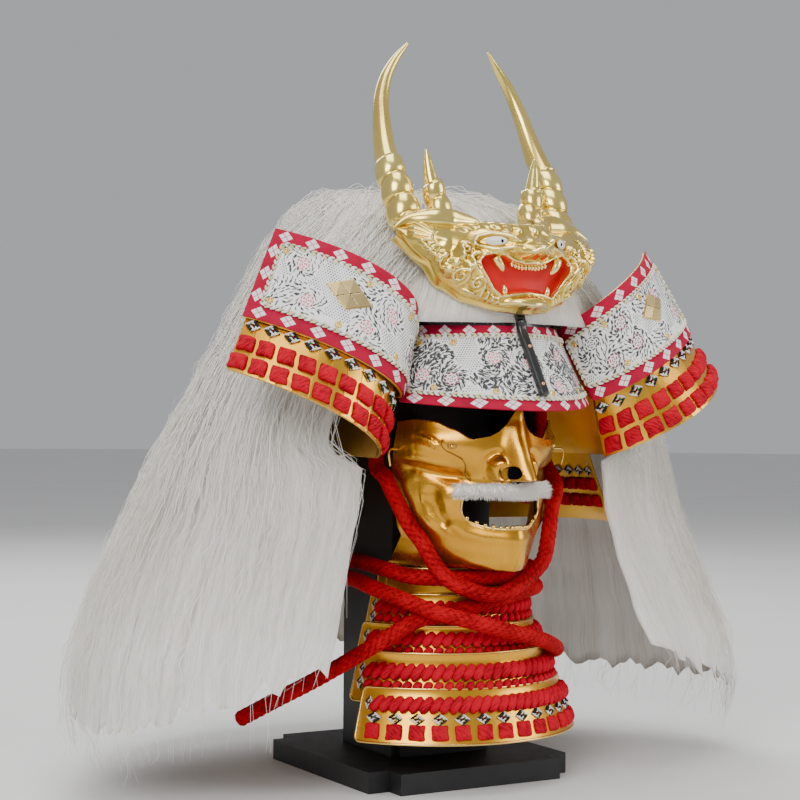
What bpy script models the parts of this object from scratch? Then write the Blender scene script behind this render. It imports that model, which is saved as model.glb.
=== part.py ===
"""Samurai helmet with a horned crest, face mask, laced throat guard and white hair, on a plain stand."""

import math

import bmesh
import bpy
from mathutils import Vector

# Driving sizes, in metres. Z is up, the wearer looks along -Y and X = 0 is the mirror plane.
CLEARANCE = 0.0004
PLATE = 0.002
FACING = 0.001

# Helmet bowl: an oval dome over a short upright band.
BOWL_HALF_WIDTH = 0.088
BOWL_HALF_LENGTH = 0.114
BOWL_CENTRE_Y = 0.010
BOWL_RIM_Z = 0.391
BOWL_RISE = 0.112
BOWL_BAND = 0.010

# Visor: from the rim of the bowl down and forward.
VISOR_DROP = 0.070
VISOR_REACH = 0.045
VISOR_HALF_WIDTH = 0.091
VISOR_END_ANGLE = math.radians(51.0)
VISOR_END_BACK = 0.065
VISOR_BORDER = 0.011

# Neck guard: three flared lames, the first two turned outwards into wings at the temples.
LAME_DROP = 0.055
LAME_FLARE = 0.0246
LAME_LAP = 0.010
LAME_ARC_END = math.radians(66.0)
THIRD_LAME_END = math.radians(82.0)
THIRD_LAME_DIP = 0.008
NECK_TOP_Z = 0.388
SECOND_LAME_STEP = 0.0054
THIRD_LAME_STEP = 0.0034
WING_BORDER = 0.014
WING_START = 0.52
WING_FIRST_SHARE = 0.46
TEMPLE_SHARE = 0.5
LACING_HALF_HEIGHT = 0.0075
LACING_THICKNESS = 0.003
MON_SHARES = (0.83, 0.43)
MON_HALF_WIDTH = 0.0205
MON_HALF_HEIGHT = 0.0140
MON_THICKNESS = 0.0012

# Temple of each edge of the two winged lames, then how its wing runs out to the tip. Lengths are
# shares of BOWL_HALF_LENGTH, and temple_z of BOWL_RIM_Z.
EDGE_COLUMNS = (
    "temple_x", "temple_y", "temple_z", "spread", "back", "rise",
    "near_forward", "far_forward", "near_rise", "far_rise",
)
EDGES = {
    "top": (0.6491, -0.5263, 1.0, 0.9912, 0.2193, 0.6667, 0.5088, 0.3947, 0.3, 0.74),
    "leather": (0.8509, -0.7368, 0.844, 1.1228, 0.2632, 0.5614, 0.2982, 0.386, 0.12, 0.66),
    "lame": (1.0, -0.6667, 0.7187, 1.1491, 0.0702, 0.6228, 0.4211, 0.7018, 0.15, 0.62),
}
NEAR_SPREAD = 0.07
FAR_SPREAD = 0.57

# Face mask.
MASK_SIDE_Y = -0.015
MASK_HALF_WIDTH = 0.086
MASK_DEPTH = 0.102
MASK_WALL = 0.0015
MASK_CHIN_Z = 0.187
MASK_HEIGHT = 0.126
MOUTH_HALF_WIDTH = 0.036
MOUTH_LOW_Z = 0.225
MOUTH_HIGH_Z = 0.257
MOUTH_CORNER = 0.012
MOUTH_CUT_DEPTH = 0.060
NOSE_REACH = 0.015
HOOK_RADIUS = 0.0014
HOOK_ANGLE = math.radians(66.0)
HOOK_FOOT_SHARE = 0.80
MUSTACHE_Z = 0.2530
MUSTACHE_HEIGHT = 0.012
MUSTACHE_THICKNESS = 0.007
MUSTACHE_HALF_ANGLE = math.radians(46.0)

# Throat guard: each lame hangs from the one above it. Lengths are shares of THROAT_RADIUS.
THROAT_TOP_Z = 0.1865
THROAT_RADIUS = 0.064
THROAT_CENTRE_Y = 0.009
THROAT_WALL = 0.0015
THROAT_LACING_HALF_HEIGHT = 0.0065
THROAT_LACING_SHARE = 0.78
THROAT_SQUARES = 13
THROAT_COLUMNS = ("height", "lap", "flare", "half_angle", "centre_y")
THROAT_LAMES = (
    (0.4375, 0.0, 0.0312, 88.0, 0.1406),
    (0.5312, 0.0938, 0.125, 85.0, 0.1875),
    (0.5312, 0.0938, 0.1406, 80.0, 0.25),
    (0.5312, 0.0938, 0.1562, 73.0, 0.3125),
    (0.7031, 0.2188, 0.2344, 62.0, 0.3906),
)

# Crest: a face on a crescent, four horns and a stem.
CREST_HALF_WIDTH = 0.096
CREST_CHIN_Z = 0.399
CREST_TOP_Z = 0.478
CREST_OFF_BOWL = 0.0255
CREST_OFF_HAIR = 0.0473
CREST_SWEEP = 0.052
CREST_BULGE = 0.012
CREST_LEAN = 0.038
CREST_WALL = 0.004
CREST_COLUMNS = 22
CREST_ROWS = 7
STEM_RADIUS = 0.0036

# Hair: outline sections from the crown down, as shares of the named sizes.
HAIR_HALF_WIDTH = 0.327
HAIR_DEPTH = 0.232
HAIR_TOP_Z = 0.522
HAIR_FLOOR_Z = 0.063
HAIR_SPLIT_Z = 0.3915
HAIR_LOCKS = 20
HAIR_THICKNESS = 0.014
HAIR_INNER_GAP = 0.0024
HAIR_COLUMNS = 40
HEM_NOTCH = 0.012
NOTCH_RISE = 0.050

# Cords.
CORD_RADIUS = 0.00675
CORD_SPACING = 0.028

# Stand.
BASE_WIDTH = 0.200
BASE_DEPTH = 0.220
BASE_HEIGHT = 0.018
BASE_CENTRE_Y = 0.050
POST_WIDTH = 0.100
POST_CENTRE_Y = 0.054
POST_TOP_Z = 0.345
ARM_HALF_WIDTH = 0.008
ARM_HALF_HEIGHT = 0.006
ARM_RISE = 0.016
ARM_GAP = 0.0045
PAD_SHARE = 0.60
PAD_CENTRE_Y = 0.020

GOLD = ("gold_lacquer", (0.72, 0.50, 0.12), 0.30, 0.9)
POLISHED = ("polished_gold", (0.85, 0.68, 0.25), 0.15, 1.0)
CRIMSON = ("crimson_cloth", (0.62, 0.05, 0.12), 0.80, 0.0)
LEATHER = ("printed_leather", (0.85, 0.83, 0.80), 0.60, 0.0)
RED = ("red_silk", (0.75, 0.03, 0.06), 0.65, 0.0)
BLACK = ("black_lacquer", (0.02, 0.02, 0.02), 0.40, 0.0)
HAIR = ("white_hair", (0.83, 0.79, 0.72), 0.70, 0.0)


def clear_scene():
    for item in list(bpy.data.objects):
        bpy.data.objects.remove(item, do_unlink=True)


def collection(name):
    made = bpy.data.collections.new(name)
    bpy.context.scene.collection.children.link(made)
    return made


def material(finish):
    name, colour, roughness, metallic = finish
    if name in bpy.data.materials:
        return bpy.data.materials[name]
    made = bpy.data.materials.new(name)
    made.use_nodes = True
    shader = made.node_tree.nodes["Principled BSDF"]
    shader.inputs["Base Color"].default_value = (*colour, 1.0)
    shader.inputs["Roughness"].default_value = roughness
    shader.inputs["Metallic"].default_value = metallic
    return made


def add_object(name, data, finish, group):
    made = bpy.data.objects.new(name, data)
    made.data.materials.append(material(finish))
    group.objects.link(made)
    if made.type == "MESH":
        made.data.shade_smooth()
        made.data.set_sharp_from_angle(angle=math.radians(40))
    return made


def add_solidify(item, thickness, offset):
    shell = item.modifiers.new("Wall", "SOLIDIFY")
    shell.thickness = thickness
    shell.offset = offset
    shell.use_quality_normals = True
    return shell


def add_mirror(item):
    mirror = item.modifiers.new("Mirror", "MIRROR")
    mirror.merge_threshold = 0.0001
    return mirror


def steps(start, end, count):
    return [start + (end - start) * i / count for i in range(count + 1)]


def bezier(points, t):
    near, far = 1 - t, t
    weights = (near**3, 3 * near**2 * far, 3 * near * far**2, far**3)
    return sum((Vector(p) * w for p, w in zip(points, weights)), Vector((0, 0, 0)))


def smooth_table(rows, key, column):
    """A column of a table read at a key, eased between its rows."""
    if key <= rows[0][0]:
        return rows[0][column]
    for low, high in zip(rows, rows[1:]):
        if key <= high[0]:
            share = (key - low[0]) / (high[0] - low[0])
            eased = share * share * (3 - 2 * share)
            share = 0.5 * (share + eased)
            return low[column] + (high[column] - low[column]) * share
    return rows[-1][column]


def grid(name, point, us, vs, flip=False):
    """An open sheet over the two lists of parameters, split the same way everywhere."""
    mesh = bpy.data.meshes.new(name)
    built = bmesh.new()
    rows = [[built.verts.new(point(u, v)) for v in vs] for u in us]
    for i in range(len(us) - 1):
        for j in range(len(vs) - 1):
            first = (rows[i][j], rows[i + 1][j], rows[i + 1][j + 1])
            second = (rows[i][j], rows[i + 1][j + 1], rows[i][j + 1])
            for corners in (first, second):
                built.faces.new(corners[::-1] if flip else corners)
    built.to_mesh(mesh)
    built.free()
    return mesh


def front_normal(point, u, v):
    """The way the sheet point(u, v) looks, against its first and second directions."""
    small = 0.002
    along = point(u + small, v) - point(u - small, v)
    down = point(u, v + small) - point(u, v - small)
    return down.cross(along).normalized()


def lifted(point, lift, side=1):
    """The same sheet, moved out along its normal, and mirrored when side is -1."""

    def moved(u, v):
        place = point(u, v) + front_normal(point, u, v) * lift
        return Vector((place.x * side, place.y, place.z))

    return moved


def facing(name, point, us, vs, lift, thickness, finish, group, side=1):
    """A thin layer that lies on the front of a sheet."""
    mesh = grid(name, lifted(point, lift, side), us, vs, flip=side > 0)
    made = add_object(name, mesh, finish, group)
    add_solidify(made, thickness, 1.0)
    return made


def tube(name, points, radii, finish, group, resolution=2):
    curve = bpy.data.curves.new(name, "CURVE")
    curve.dimensions = "3D"
    curve.bevel_depth = 1.0
    curve.bevel_resolution = resolution
    curve.use_fill_caps = True
    spline = curve.splines.new("POLY")
    spline.points.add(len(points) - 1)
    for knot, place, radius in zip(spline.points, points, radii):
        knot.co = (*place, 1.0)
        knot.radius = radius
    return add_object(name, curve, finish, group)


def smooth_route(route, spacing):
    """Points read from a smooth curve through the route's own points."""
    ends = [route[0] * 2 - route[1], *route, route[-1] * 2 - route[-2]]
    fine = []
    for a, b, c, d in zip(ends, ends[1:], ends[2:], ends[3:]):
        for t in steps(0, 1, 12)[:-1]:
            fine.append(
                0.5 * (2 * b + (c - a) * t + (2 * a - 5 * b + 4 * c - d) * t**2
                       + (3 * b - a - 3 * c + d) * t**3)
            )
    fine.append(route[-1])
    total = sum((q - p).length for p, q in zip(fine, fine[1:]))
    step = total / max(2, round(total / spacing))
    picked, left = [fine[0]], step
    for p, q in zip(fine, fine[1:]):
        length = (q - p).length
        while left <= length + 1e-9 and length > 0:
            picked.append(p.lerp(q, left / length))
            left += step
        left -= length
    picked[-1] = fine[-1]
    return picked


def ellipse_point(half_width, half_length, centre_y, angle, z):
    """A point on an oval; the angle runs from the front round to the side."""
    return Vector((half_width * math.sin(angle), centre_y - half_length * math.cos(angle), z))


# Helmet


def make_bowl(parts):
    mesh = bpy.data.meshes.new("helmet_bowl")
    built = bmesh.new()
    bmesh.ops.create_uvsphere(built, u_segments=24, v_segments=12, radius=1.0)
    below = [vertex for vertex in built.verts if vertex.co.z < -0.001]
    bmesh.ops.delete(built, geom=below, context="VERTS")
    rim = [edge for edge in built.edges if edge.is_boundary]
    band = bmesh.ops.extrude_edge_only(built, edges=rim)
    lower = [part for part in band["geom"] if isinstance(part, bmesh.types.BMVert)]
    for vertex in lower:
        vertex.co.z -= BOWL_BAND / BOWL_RISE
    for vertex in built.verts:
        vertex.co.x *= BOWL_HALF_WIDTH
        vertex.co.y = vertex.co.y * BOWL_HALF_LENGTH + BOWL_CENTRE_Y
        vertex.co.z = vertex.co.z * BOWL_RISE + BOWL_RIM_Z
    bmesh.ops.recalc_face_normals(built, faces=built.faces)
    built.to_mesh(mesh)
    built.free()
    made = add_object("helmet_bowl", mesh, BLACK, parts)
    add_solidify(made, PLATE, -1.0)
    return made


def visor_point(u, v):
    """The visor's front: u runs from the wearer's right end to the left one, v from the rim down."""
    side = -1 if u < 0 else 1
    reach = abs(u)
    top = ellipse_point(
        BOWL_HALF_WIDTH + CLEARANCE + PLATE, BOWL_HALF_LENGTH + CLEARANCE + PLATE,
        BOWL_CENTRE_Y, VISOR_END_ANGLE * reach, BOWL_RIM_Z,
    )
    front_y = BOWL_CENTRE_Y - BOWL_HALF_LENGTH - VISOR_REACH
    low_z = BOWL_RIM_Z - VISOR_DROP
    low = bezier(
        (
            (0, front_y - PLATE, low_z),
            (VISOR_HALF_WIDTH * 0.37, front_y - PLATE, low_z),
            (VISOR_HALF_WIDTH * 0.73, front_y + VISOR_END_BACK * 0.51, low_z),
            (VISOR_HALF_WIDTH, front_y + VISOR_END_BACK, low_z),
        ),
        reach,
    )
    place = top.lerp(low, v)
    return Vector((place.x * side, place.y, place.z))


def make_visor(parts):
    us = steps(-1, 1, 20)
    plate = grid("visor_plate", visor_point, us, [0, 1])
    made = add_object("visor_plate", plate, CRIMSON, parts)
    add_solidify(made, PLATE, 1.0)
    edge = VISOR_BORDER / VISOR_DROP
    facing(
        "visor_leather", visor_point, steps(-0.97, 0.97, 20), [edge * 0.9, 1 - edge],
        CLEARANCE, FACING, LEATHER, parts,
    )


def neck_edge(edge, u, half_width, half_length, z):
    """One edge of a winged lame: u is 0 at the back, TEMPLE_SHARE at the temple and 1 at the wing's tip."""
    size = {key: value * BOWL_HALF_LENGTH for key, value in zip(EDGE_COLUMNS, EDGES[edge])}
    near_rise, far_rise = EDGES[edge][-2:]
    temple = Vector((size["temple_x"], size["temple_y"], EDGES[edge][2] * BOWL_RIM_Z))
    if u < WING_FIRST_SHARE:
        angle = math.pi + (LAME_ARC_END - math.pi) * u / WING_FIRST_SHARE
        return ellipse_point(half_width, half_length, BOWL_CENTRE_Y, angle, z)
    if u < TEMPLE_SHARE:
        last = ellipse_point(half_width, half_length, BOWL_CENTRE_Y, LAME_ARC_END, z)
        return last.lerp(temple, (u - WING_FIRST_SHARE) / (TEMPLE_SHARE - WING_FIRST_SHARE))
    spread, rise = size["spread"], size["rise"]
    near = temple + Vector(
        (spread * NEAR_SPREAD, -size["near_forward"], rise * near_rise)
    )
    far = temple + Vector((spread * FAR_SPREAD, -size["far_forward"], rise * far_rise))
    tip = temple + Vector((spread, size["back"], rise))
    return bezier((temple, near, far, tip), (u - TEMPLE_SHARE) / (1 - TEMPLE_SHARE))


def first_lame(u, v):
    top = neck_edge(
        "top", u, BOWL_HALF_WIDTH + CLEARANCE * 4, BOWL_HALF_LENGTH + CLEARANCE * 4,
        NECK_TOP_Z,
    )
    low = neck_edge(
        "leather", u, BOWL_HALF_WIDTH + LAME_FLARE, BOWL_HALF_LENGTH + LAME_FLARE,
        NECK_TOP_Z - LAME_DROP,
    )
    return top.lerp(low, v)


def second_lame(u, v):
    behind = lifted(first_lame, -SECOND_LAME_STEP)
    top = behind(u, 1 - LAME_LAP / LAME_DROP)
    low = neck_edge(
        "lame", u, BOWL_HALF_WIDTH + LAME_FLARE * 2.1, BOWL_HALF_LENGTH + LAME_FLARE * 1.9,
        NECK_TOP_Z - LAME_DROP * 1.92,
    )
    return top.lerp(low, v)


def third_lame(u, v):
    """Only the part round the back: u is 0 at the back and 1 at the end beside the mask."""
    reach = u * WING_FIRST_SHARE * (math.pi - THIRD_LAME_END) / (math.pi - LAME_ARC_END)
    angle = math.pi + (THIRD_LAME_END - math.pi) * u
    behind = lifted(second_lame, -THIRD_LAME_STEP)
    top = behind(reach, 1 - LAME_LAP / LAME_DROP)
    low = ellipse_point(
        BOWL_HALF_WIDTH + LAME_FLARE * 3.2, BOWL_HALF_LENGTH + LAME_FLARE * 2.8,
        BOWL_CENTRE_Y, angle, NECK_TOP_Z - LAME_DROP * 3.05,
    )
    low.z -= THIRD_LAME_DIP * math.sin(angle - math.pi / 2) ** 2
    return top.lerp(low, v)


WING_STATIONS = [0.46, 0.48, 0.5, 0.52, 0.55, 0.6, 0.66, 0.72, 0.78, 0.84, 0.9, 0.95, 1.0]


def make_neck_guard(parts):
    stations = steps(0, 0.41, 8) + WING_STATIONS
    for name, point, us in (
        ("neck_lame_1", first_lame, stations),
        ("neck_lame_2", second_lame, stations),
        ("neck_lame_3", third_lame, steps(0, 1, 10)),
    ):
        made = add_object(name, grid(name, point, us, [0, 1]), GOLD, parts)
        add_mirror(made)
        add_solidify(made, PLATE, 1.0)


def square_row(point, start, end, count, middle, half_height):
    """A band pinched between its squares: three stations for each square."""
    pitch = (end - start) / count
    stations = []
    for i in range(count):
        stations += [(start + pitch * (i + 0.1), 1.0), (start + pitch * (i + 0.8), 1.0)]
        if i < count - 1:
            stations.append((start + pitch * (i + 0.95), 0.35))
    width = dict(stations)

    def banded(u, v):
        return point(u, middle + (v - 0.5) * 2 * half_height * width.get(u, 1.0))

    return banded, [u for u, _ in stations]


def make_wings(parts):
    tall = (first_lame(0.8, 1) - first_lame(0.8, 0)).length
    edge = WING_BORDER / tall
    last = (first_lame(1.0, 0.5) - first_lame(0.98, 0.5)).length / 0.02
    bordered = [u for u in WING_STATIONS if u >= WING_START]
    inside = bordered[:-1] + [1 - WING_BORDER / last]
    laced = (second_lame(0.8, 1) - second_lame(0.8, 0)).length
    for side, label in ((-1, "right"), (1, "left")):
        facing(
            f"wing_border_{label}", first_lame, bordered, [0, 1],
            CLEARANCE * 1.5, FACING, CRIMSON, parts, side,
        )
        facing(
            f"wing_leather_{label}", first_lame, inside, [edge, 1 - edge],
            CLEARANCE * 3 + FACING, FACING, LEATHER, parts, side,
        )
        middle = first_lame(*MON_SHARES)
        make_badge(f"wing_mon_{label}", middle, front_normal(first_lame, *MON_SHARES), side, parts)
        for row, centre in (("upper", 0.50), ("lower", 0.80)):
            name = f"wing_lacing_{row}_{label}"
            banded, us = square_row(second_lame, 0.505, 0.995, 11, centre, LACING_HALF_HEIGHT / laced)
            mesh = grid(
                name, banded_lift(banded, second_lame, CLEARANCE * 2, side), us, [0, 1],
                flip=side > 0,
            )
            made = add_object(name, mesh, RED, parts)
            add_solidify(made, LACING_THICKNESS, 1.0)


def banded_lift(banded, point, lift, side):
    """A banded strip lifted by the normals of the sheet that it lies on."""

    def moved(u, v):
        place = banded(u, v) + front_normal(point, u, 0.6) * lift
        return Vector((place.x * side, place.y, place.z))

    return moved


def make_badge(name, middle, normal, side, parts):
    """A four-part lozenge plate, proud of the leather."""
    mesh = bpy.data.meshes.new(name)
    built = bmesh.new()
    across = Vector((0, 0, 1)).cross(normal).normalized()
    upward = normal.cross(across)
    start = middle + normal * (CLEARANCE * 4 + FACING * 2)
    ring = []
    for wide, tall in (
        (MON_HALF_WIDTH, 0), (0, MON_HALF_HEIGHT), (-MON_HALF_WIDTH, 0), (0, -MON_HALF_HEIGHT)
    ):
        place = start + across * wide + upward * tall
        ring.append(built.verts.new((place.x * side, place.y, place.z)))
    built.faces.new(ring if side > 0 else ring[::-1])
    bmesh.ops.recalc_face_normals(built, faces=built.faces)
    built.to_mesh(mesh)
    built.free()
    made = add_object(name, mesh, POLISHED, parts)
    outward = Vector((normal.x * side, normal.y, normal.z))
    facing_out = made.data.polygons[0].normal.dot(outward) > 0
    add_solidify(made, MON_THICKNESS, 1.0 if facing_out else -1.0)


# Mask

MASK_ROWS = (
    # height share, half-width share, depth share, roundness, angle of the side's end in degrees
    (-0.02, 0.56, 0.890, 1.55, 76.0),
    (0.06, 0.66, 0.920, 1.50, 76.0),
    (0.17, 0.75, 0.955, 1.42, 76.0),
    (0.30, 0.82, 0.980, 1.38, 76.0),
    (0.42, 0.85, 0.990, 1.37, 76.0),
    (0.55, 0.90, 0.985, 1.40, 75.0),
    (0.62, 0.93, 0.960, 1.45, 74.0),
    (0.75, 0.975, 0.925, 1.55, 70.0),
    (0.90, 0.99, 0.900, 1.60, 67.0),
    (1.10, 0.98, 0.890, 1.60, 66.0),
)
MASK_EDGES = (
    # angle share, lower edge, upper edge, as shares of the mask's height
    (0.00, 0.000, 0.800),
    (0.28, 0.010, 0.815),
    (0.42, 0.040, 0.905),
    (0.56, 0.090, 0.960),
    (0.70, 0.160, 0.990),
    (0.85, 0.200, 1.000),
    (1.00, 0.215, 0.985),
)
MASK_RELIEF = (
    # angle in degrees, height share, width in degrees, height spread, lift as a share of MASK_DEPTH
    (46.0, 0.84, 22.0, 0.1, 0.049),
    (40.0, 0.62, 16.0, 0.07, -0.0588),
    (52.0, 0.42, 12.0, 0.22, 0.049),
    (0.0, 0.12, 26.0, 0.12, 0.0392),
    (30.0, 0.46, 8.0, 0.16, -0.0392),
)


def mask_surface(angle, share):
    """The mask's outside at an angle from the front and a share of its height."""
    wide = MASK_HALF_WIDTH * smooth_table(MASK_ROWS, share, 1)
    deep = MASK_DEPTH * smooth_table(MASK_ROWS, share, 2)
    lift = 0.0
    for at, high, spread, tall, height in MASK_RELIEF:
        across = (abs(math.degrees(angle)) - at) / spread
        up = (share - high) / tall
        lift += MASK_DEPTH * height * math.exp(-across * across - up * up)
    bend = 2.0 / smooth_table(MASK_ROWS, share, 3)
    across = math.copysign(abs(math.sin(angle)) ** bend, angle)
    forward = math.cos(angle) ** bend
    place = Vector((wide * across, MASK_SIDE_Y - deep * forward, 0))
    outward = Vector((math.sin(angle) / wide, -math.cos(angle) / deep, 0)).normalized()
    place += outward * lift
    place.z = MASK_CHIN_Z + MASK_HEIGHT * share
    return place


def mask_point(u, v):
    """u runs from one side to the other, v from the upper edge down and in under the chin."""
    low = smooth_table(MASK_EDGES, abs(u), 1)
    high = smooth_table(MASK_EDGES, abs(u), 2)
    share = high + (low - high) * min(v, 1)
    rim = mask_surface(math.radians(smooth_table(MASK_ROWS, share, 4)) * u, share)
    if v <= 1:
        return rim
    turn = math.radians(THROAT_LAMES[0][3]) * u
    inner = ellipse_point(THROAT_RADIUS - 0.002, THROAT_RADIUS - 0.002, THROAT_CENTRE_Y, turn, 0)
    inner.z = THROAT_TOP_Z + CLEARANCE
    place = rim.lerp(inner, v - 1)
    place.z = rim.z + (inner.z - rim.z) * (v - 1)
    return place


def make_mask(parts, helpers):
    us = steps(-1, 1, 22)
    vs = steps(0, 1, 9) + [1.06, 2.0]
    shell = add_object("mask_shell", grid("mask_shell", mask_point, us, vs), GOLD, parts)
    add_solidify(shell, MASK_WALL, 1.0)
    mouth = bpy.data.meshes.new("mouth_cutter")
    built = bmesh.new()
    bmesh.ops.create_cube(built, size=1.0)
    for vertex in built.verts:
        vertex.co.x *= MOUTH_HALF_WIDTH * 2
        vertex.co.y = vertex.co.y * MOUTH_CUT_DEPTH + MASK_SIDE_Y - MASK_DEPTH
        vertex.co.z = (MOUTH_LOW_Z + MOUTH_HIGH_Z) / 2 + vertex.co.z * (MOUTH_HIGH_Z - MOUTH_LOW_Z)
    upright = [
        edge for edge in built.edges
        if abs(edge.verts[0].co.y - edge.verts[1].co.y) > 0.01
    ]
    bmesh.ops.bevel(built, geom=upright, offset=MOUTH_CORNER, segments=3, affect="EDGES")
    built.to_mesh(mouth)
    built.free()
    cutter = bpy.data.objects.new("mouth_cutter", mouth)
    cutter.hide_render = True
    cutter.display_type = "WIRE"
    helpers.objects.link(cutter)
    cut = shell.modifiers.new("Mouth", "BOOLEAN")
    cut.operation = "DIFFERENCE"
    cut.object = cutter
    make_nose(parts)
    make_mustache(parts)
    make_hooks(parts)


NOSE_EDGES = (
    # angle in degrees, lower edge, upper edge, as shares of the mask's height
    (0.0, 0.605, 1.055),
    (5.0, 0.605, 1.035),
    (12.0, 0.600, 0.955),
    (22.0, 0.610, 0.885),
    (30.0, 0.660, 0.890),
    (38.0, 0.760, 0.915),
)


def nose_point(u, v):
    """The nose plate lies on the mask's cheeks and stands out at the middle."""
    angle = math.radians(NOSE_EDGES[-1][0]) * u
    degrees = abs(math.degrees(angle))
    low = smooth_table(NOSE_EDGES, degrees, 1)
    high = smooth_table(NOSE_EDGES, degrees, 2)
    share = high + (low - high) * v
    place = mask_surface(angle, share)
    outward = Vector((place.x, place.y - MASK_SIDE_Y, 0)).normalized()
    fall = min(1.0, max(0.0, (1.0 - share) / 0.4))
    ridge = (0.30 + 0.70 * fall) * math.exp(-((degrees / (6.5 + 3.5 * fall)) ** 2))
    return place + outward * (CLEARANCE * 5 + NOSE_REACH * ridge)


def make_nose(parts):
    mesh = grid("mask_nose", nose_point, steps(-1, 1, 18), steps(0, 1, 6), flip=True)
    made = add_object("mask_nose", mesh, GOLD, parts)
    add_solidify(made, MASK_WALL, 1.0)


def mustache_point(u, v):
    share = (MUSTACHE_Z - MASK_CHIN_Z) / MASK_HEIGHT + (0.5 - v) * MUSTACHE_HEIGHT / MASK_HEIGHT
    return mask_surface(MUSTACHE_HALF_ANGLE * u, share)


HOOK_BENDS = (
    # distance out from the cheek and rise, in metres
    (0.0006, 0.000),
    (0.0100, 0.000),
    (0.0125, -0.004),
    (0.0105, -0.014),
)


def make_hooks(parts):
    """A wire hook on each cheek that keeps the chin cord in its place."""
    foot = mask_surface(HOOK_ANGLE, HOOK_FOOT_SHARE)
    outward = Vector((foot.x, foot.y - MASK_SIDE_Y, 0)).normalized()
    for side, label in ((-1, "right"), (1, "left")):
        route = []
        for out, rise in HOOK_BENDS:
            place = foot + outward * out
            route.append(Vector((place.x * side, place.y, place.z + rise)))
        tube(f"mask_hook_{label}", route, [HOOK_RADIUS] * len(route), POLISHED, parts)


def make_mustache(parts):
    facing(
        "mask_mustache", mustache_point, steps(-1, 1, 12), steps(0, 1, 2), CLEARANCE * 3,
        MUSTACHE_THICKNESS, HAIR, parts,
    )


# Throat guard


def throat_sizes():
    """Each lame's top and bottom height, radius there, centre and half-angle, from the one above."""
    made = []
    for row in THROAT_LAMES:
        size = {key: value * THROAT_RADIUS for key, value in zip(THROAT_COLUMNS, row)}
        half_angle = size.pop("half_angle") / THROAT_RADIUS
        if made:
            above = made[-1]
            top_z = above["low_z"] + size["lap"]
            share = (above["top_z"] - top_z) / (above["top_z"] - above["low_z"])
            radius = above["top_radius"] + (above["low_radius"] - above["top_radius"]) * share
            front = above["centre_y"] - radius - THROAT_WALL - CLEARANCE
            top_radius = size["centre_y"] - front
        else:
            top_z = THROAT_TOP_Z
            top_radius = THROAT_RADIUS
        made.append({
            "top_z": top_z, "low_z": top_z - size["height"], "top_radius": top_radius,
            "low_radius": top_radius + size["flare"], "centre_y": size["centre_y"],
            "half_angle": math.radians(half_angle), "height": size["height"],
        })
    return made


def throat_sheet(size):
    def point(u, v):
        radius = size["top_radius"] + (size["low_radius"] - size["top_radius"]) * v
        z = size["top_z"] + (size["low_z"] - size["top_z"]) * v
        return ellipse_point(radius, radius, size["centre_y"], size["half_angle"] * u, z)

    return point


def make_throat_guard(parts):
    for number, size in enumerate(throat_sizes(), start=1):
        point = throat_sheet(size)
        name = f"throat_lame_{number}"
        mesh = grid(name, point, steps(-1, 1, 16), steps(0, 1, 1), flip=True)
        made = add_object(name, mesh, GOLD, parts)
        add_solidify(made, THROAT_WALL, 1.0)
    banded, us = square_row(
        point, -0.95, 0.95, THROAT_SQUARES, THROAT_LACING_SHARE,
        THROAT_LACING_HALF_HEIGHT / size["height"],
    )
    laid = banded_lift(banded, point, THROAT_WALL + CLEARANCE * 2.75, 1)
    mesh = grid("throat_lacing", laid, us, [0, 1], flip=True)
    made = add_object("throat_lacing", mesh, RED, parts)
    add_solidify(made, LACING_THICKNESS, 1.0)


# Crest

CREST_OUTLINE = (
    # share of the half-width, lower edge and upper edge as shares of the height, backward lean
    (0.00, 0.00, 0.96, 0.10),
    (0.25, 0.03, 1.00, 0.60),
    (0.50, 0.12, 1.03, 1.00),
    (0.70, 0.27, 1.02, 0.60),
    (0.85, 0.50, 0.98, 0.40),
    (1.00, 0.78, 0.94, 0.20),
)
CREST_RELIEF = (
    # share across, share up, width, height spread, lift as a share of the half-width
    (0.0, 0.68, 0.14, 0.12, 0.1458),
    (0.0, 0.08, 0.26, 0.1, 0.0833),
    (0.26, 0.8, 0.16, 0.12, 0.0937),
    (0.58, 0.42, 0.16, 0.16, 0.0833),
    (0.84, 0.55, 0.14, 0.16, 0.1042),
    (0.0, 0.4, 0.34, 0.2, -0.0833),
)


def crest_front():
    """The crest stands in front of the bowl and of the hair on it, whichever reaches further."""
    bowl = BOWL_CENTRE_Y - BOWL_HALF_LENGTH - CREST_OFF_BOWL
    brow = hair_section(CREST_TOP_Z - CREST_OFF_HAIR * 0.25)
    return min(bowl, brow[0] - brow[2] - CREST_OFF_HAIR)


def crest_point(u, v):
    """The crest's front: u runs across, v from its upper edge down."""
    reach = abs(u)
    low = smooth_table(CREST_OUTLINE, reach, 1)
    high = smooth_table(CREST_OUTLINE, reach, 2)
    up = high + (low - high) * v
    lift = (math.sin(math.pi * v) ** 0.6) * CREST_BULGE if 0 < v < 1 else 0.0
    for across, height, wide, tall, raised in CREST_RELIEF:
        near = ((reach - across) / wide) ** 2 + ((up - height) / tall) ** 2
        lift += CREST_HALF_WIDTH * raised * math.exp(-near)
    bent = max(0.0, (up - 0.70) / 0.33) ** 1.5
    lean = smooth_table(CREST_OUTLINE, reach, 3) * CREST_LEAN * bent
    y = crest_front() + CREST_BULGE + CREST_SWEEP * reach**1.8 - lift + lean
    return Vector((CREST_HALF_WIDTH * u, y, CREST_CHIN_Z + (CREST_TOP_Z - CREST_CHIN_Z) * up))


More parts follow.
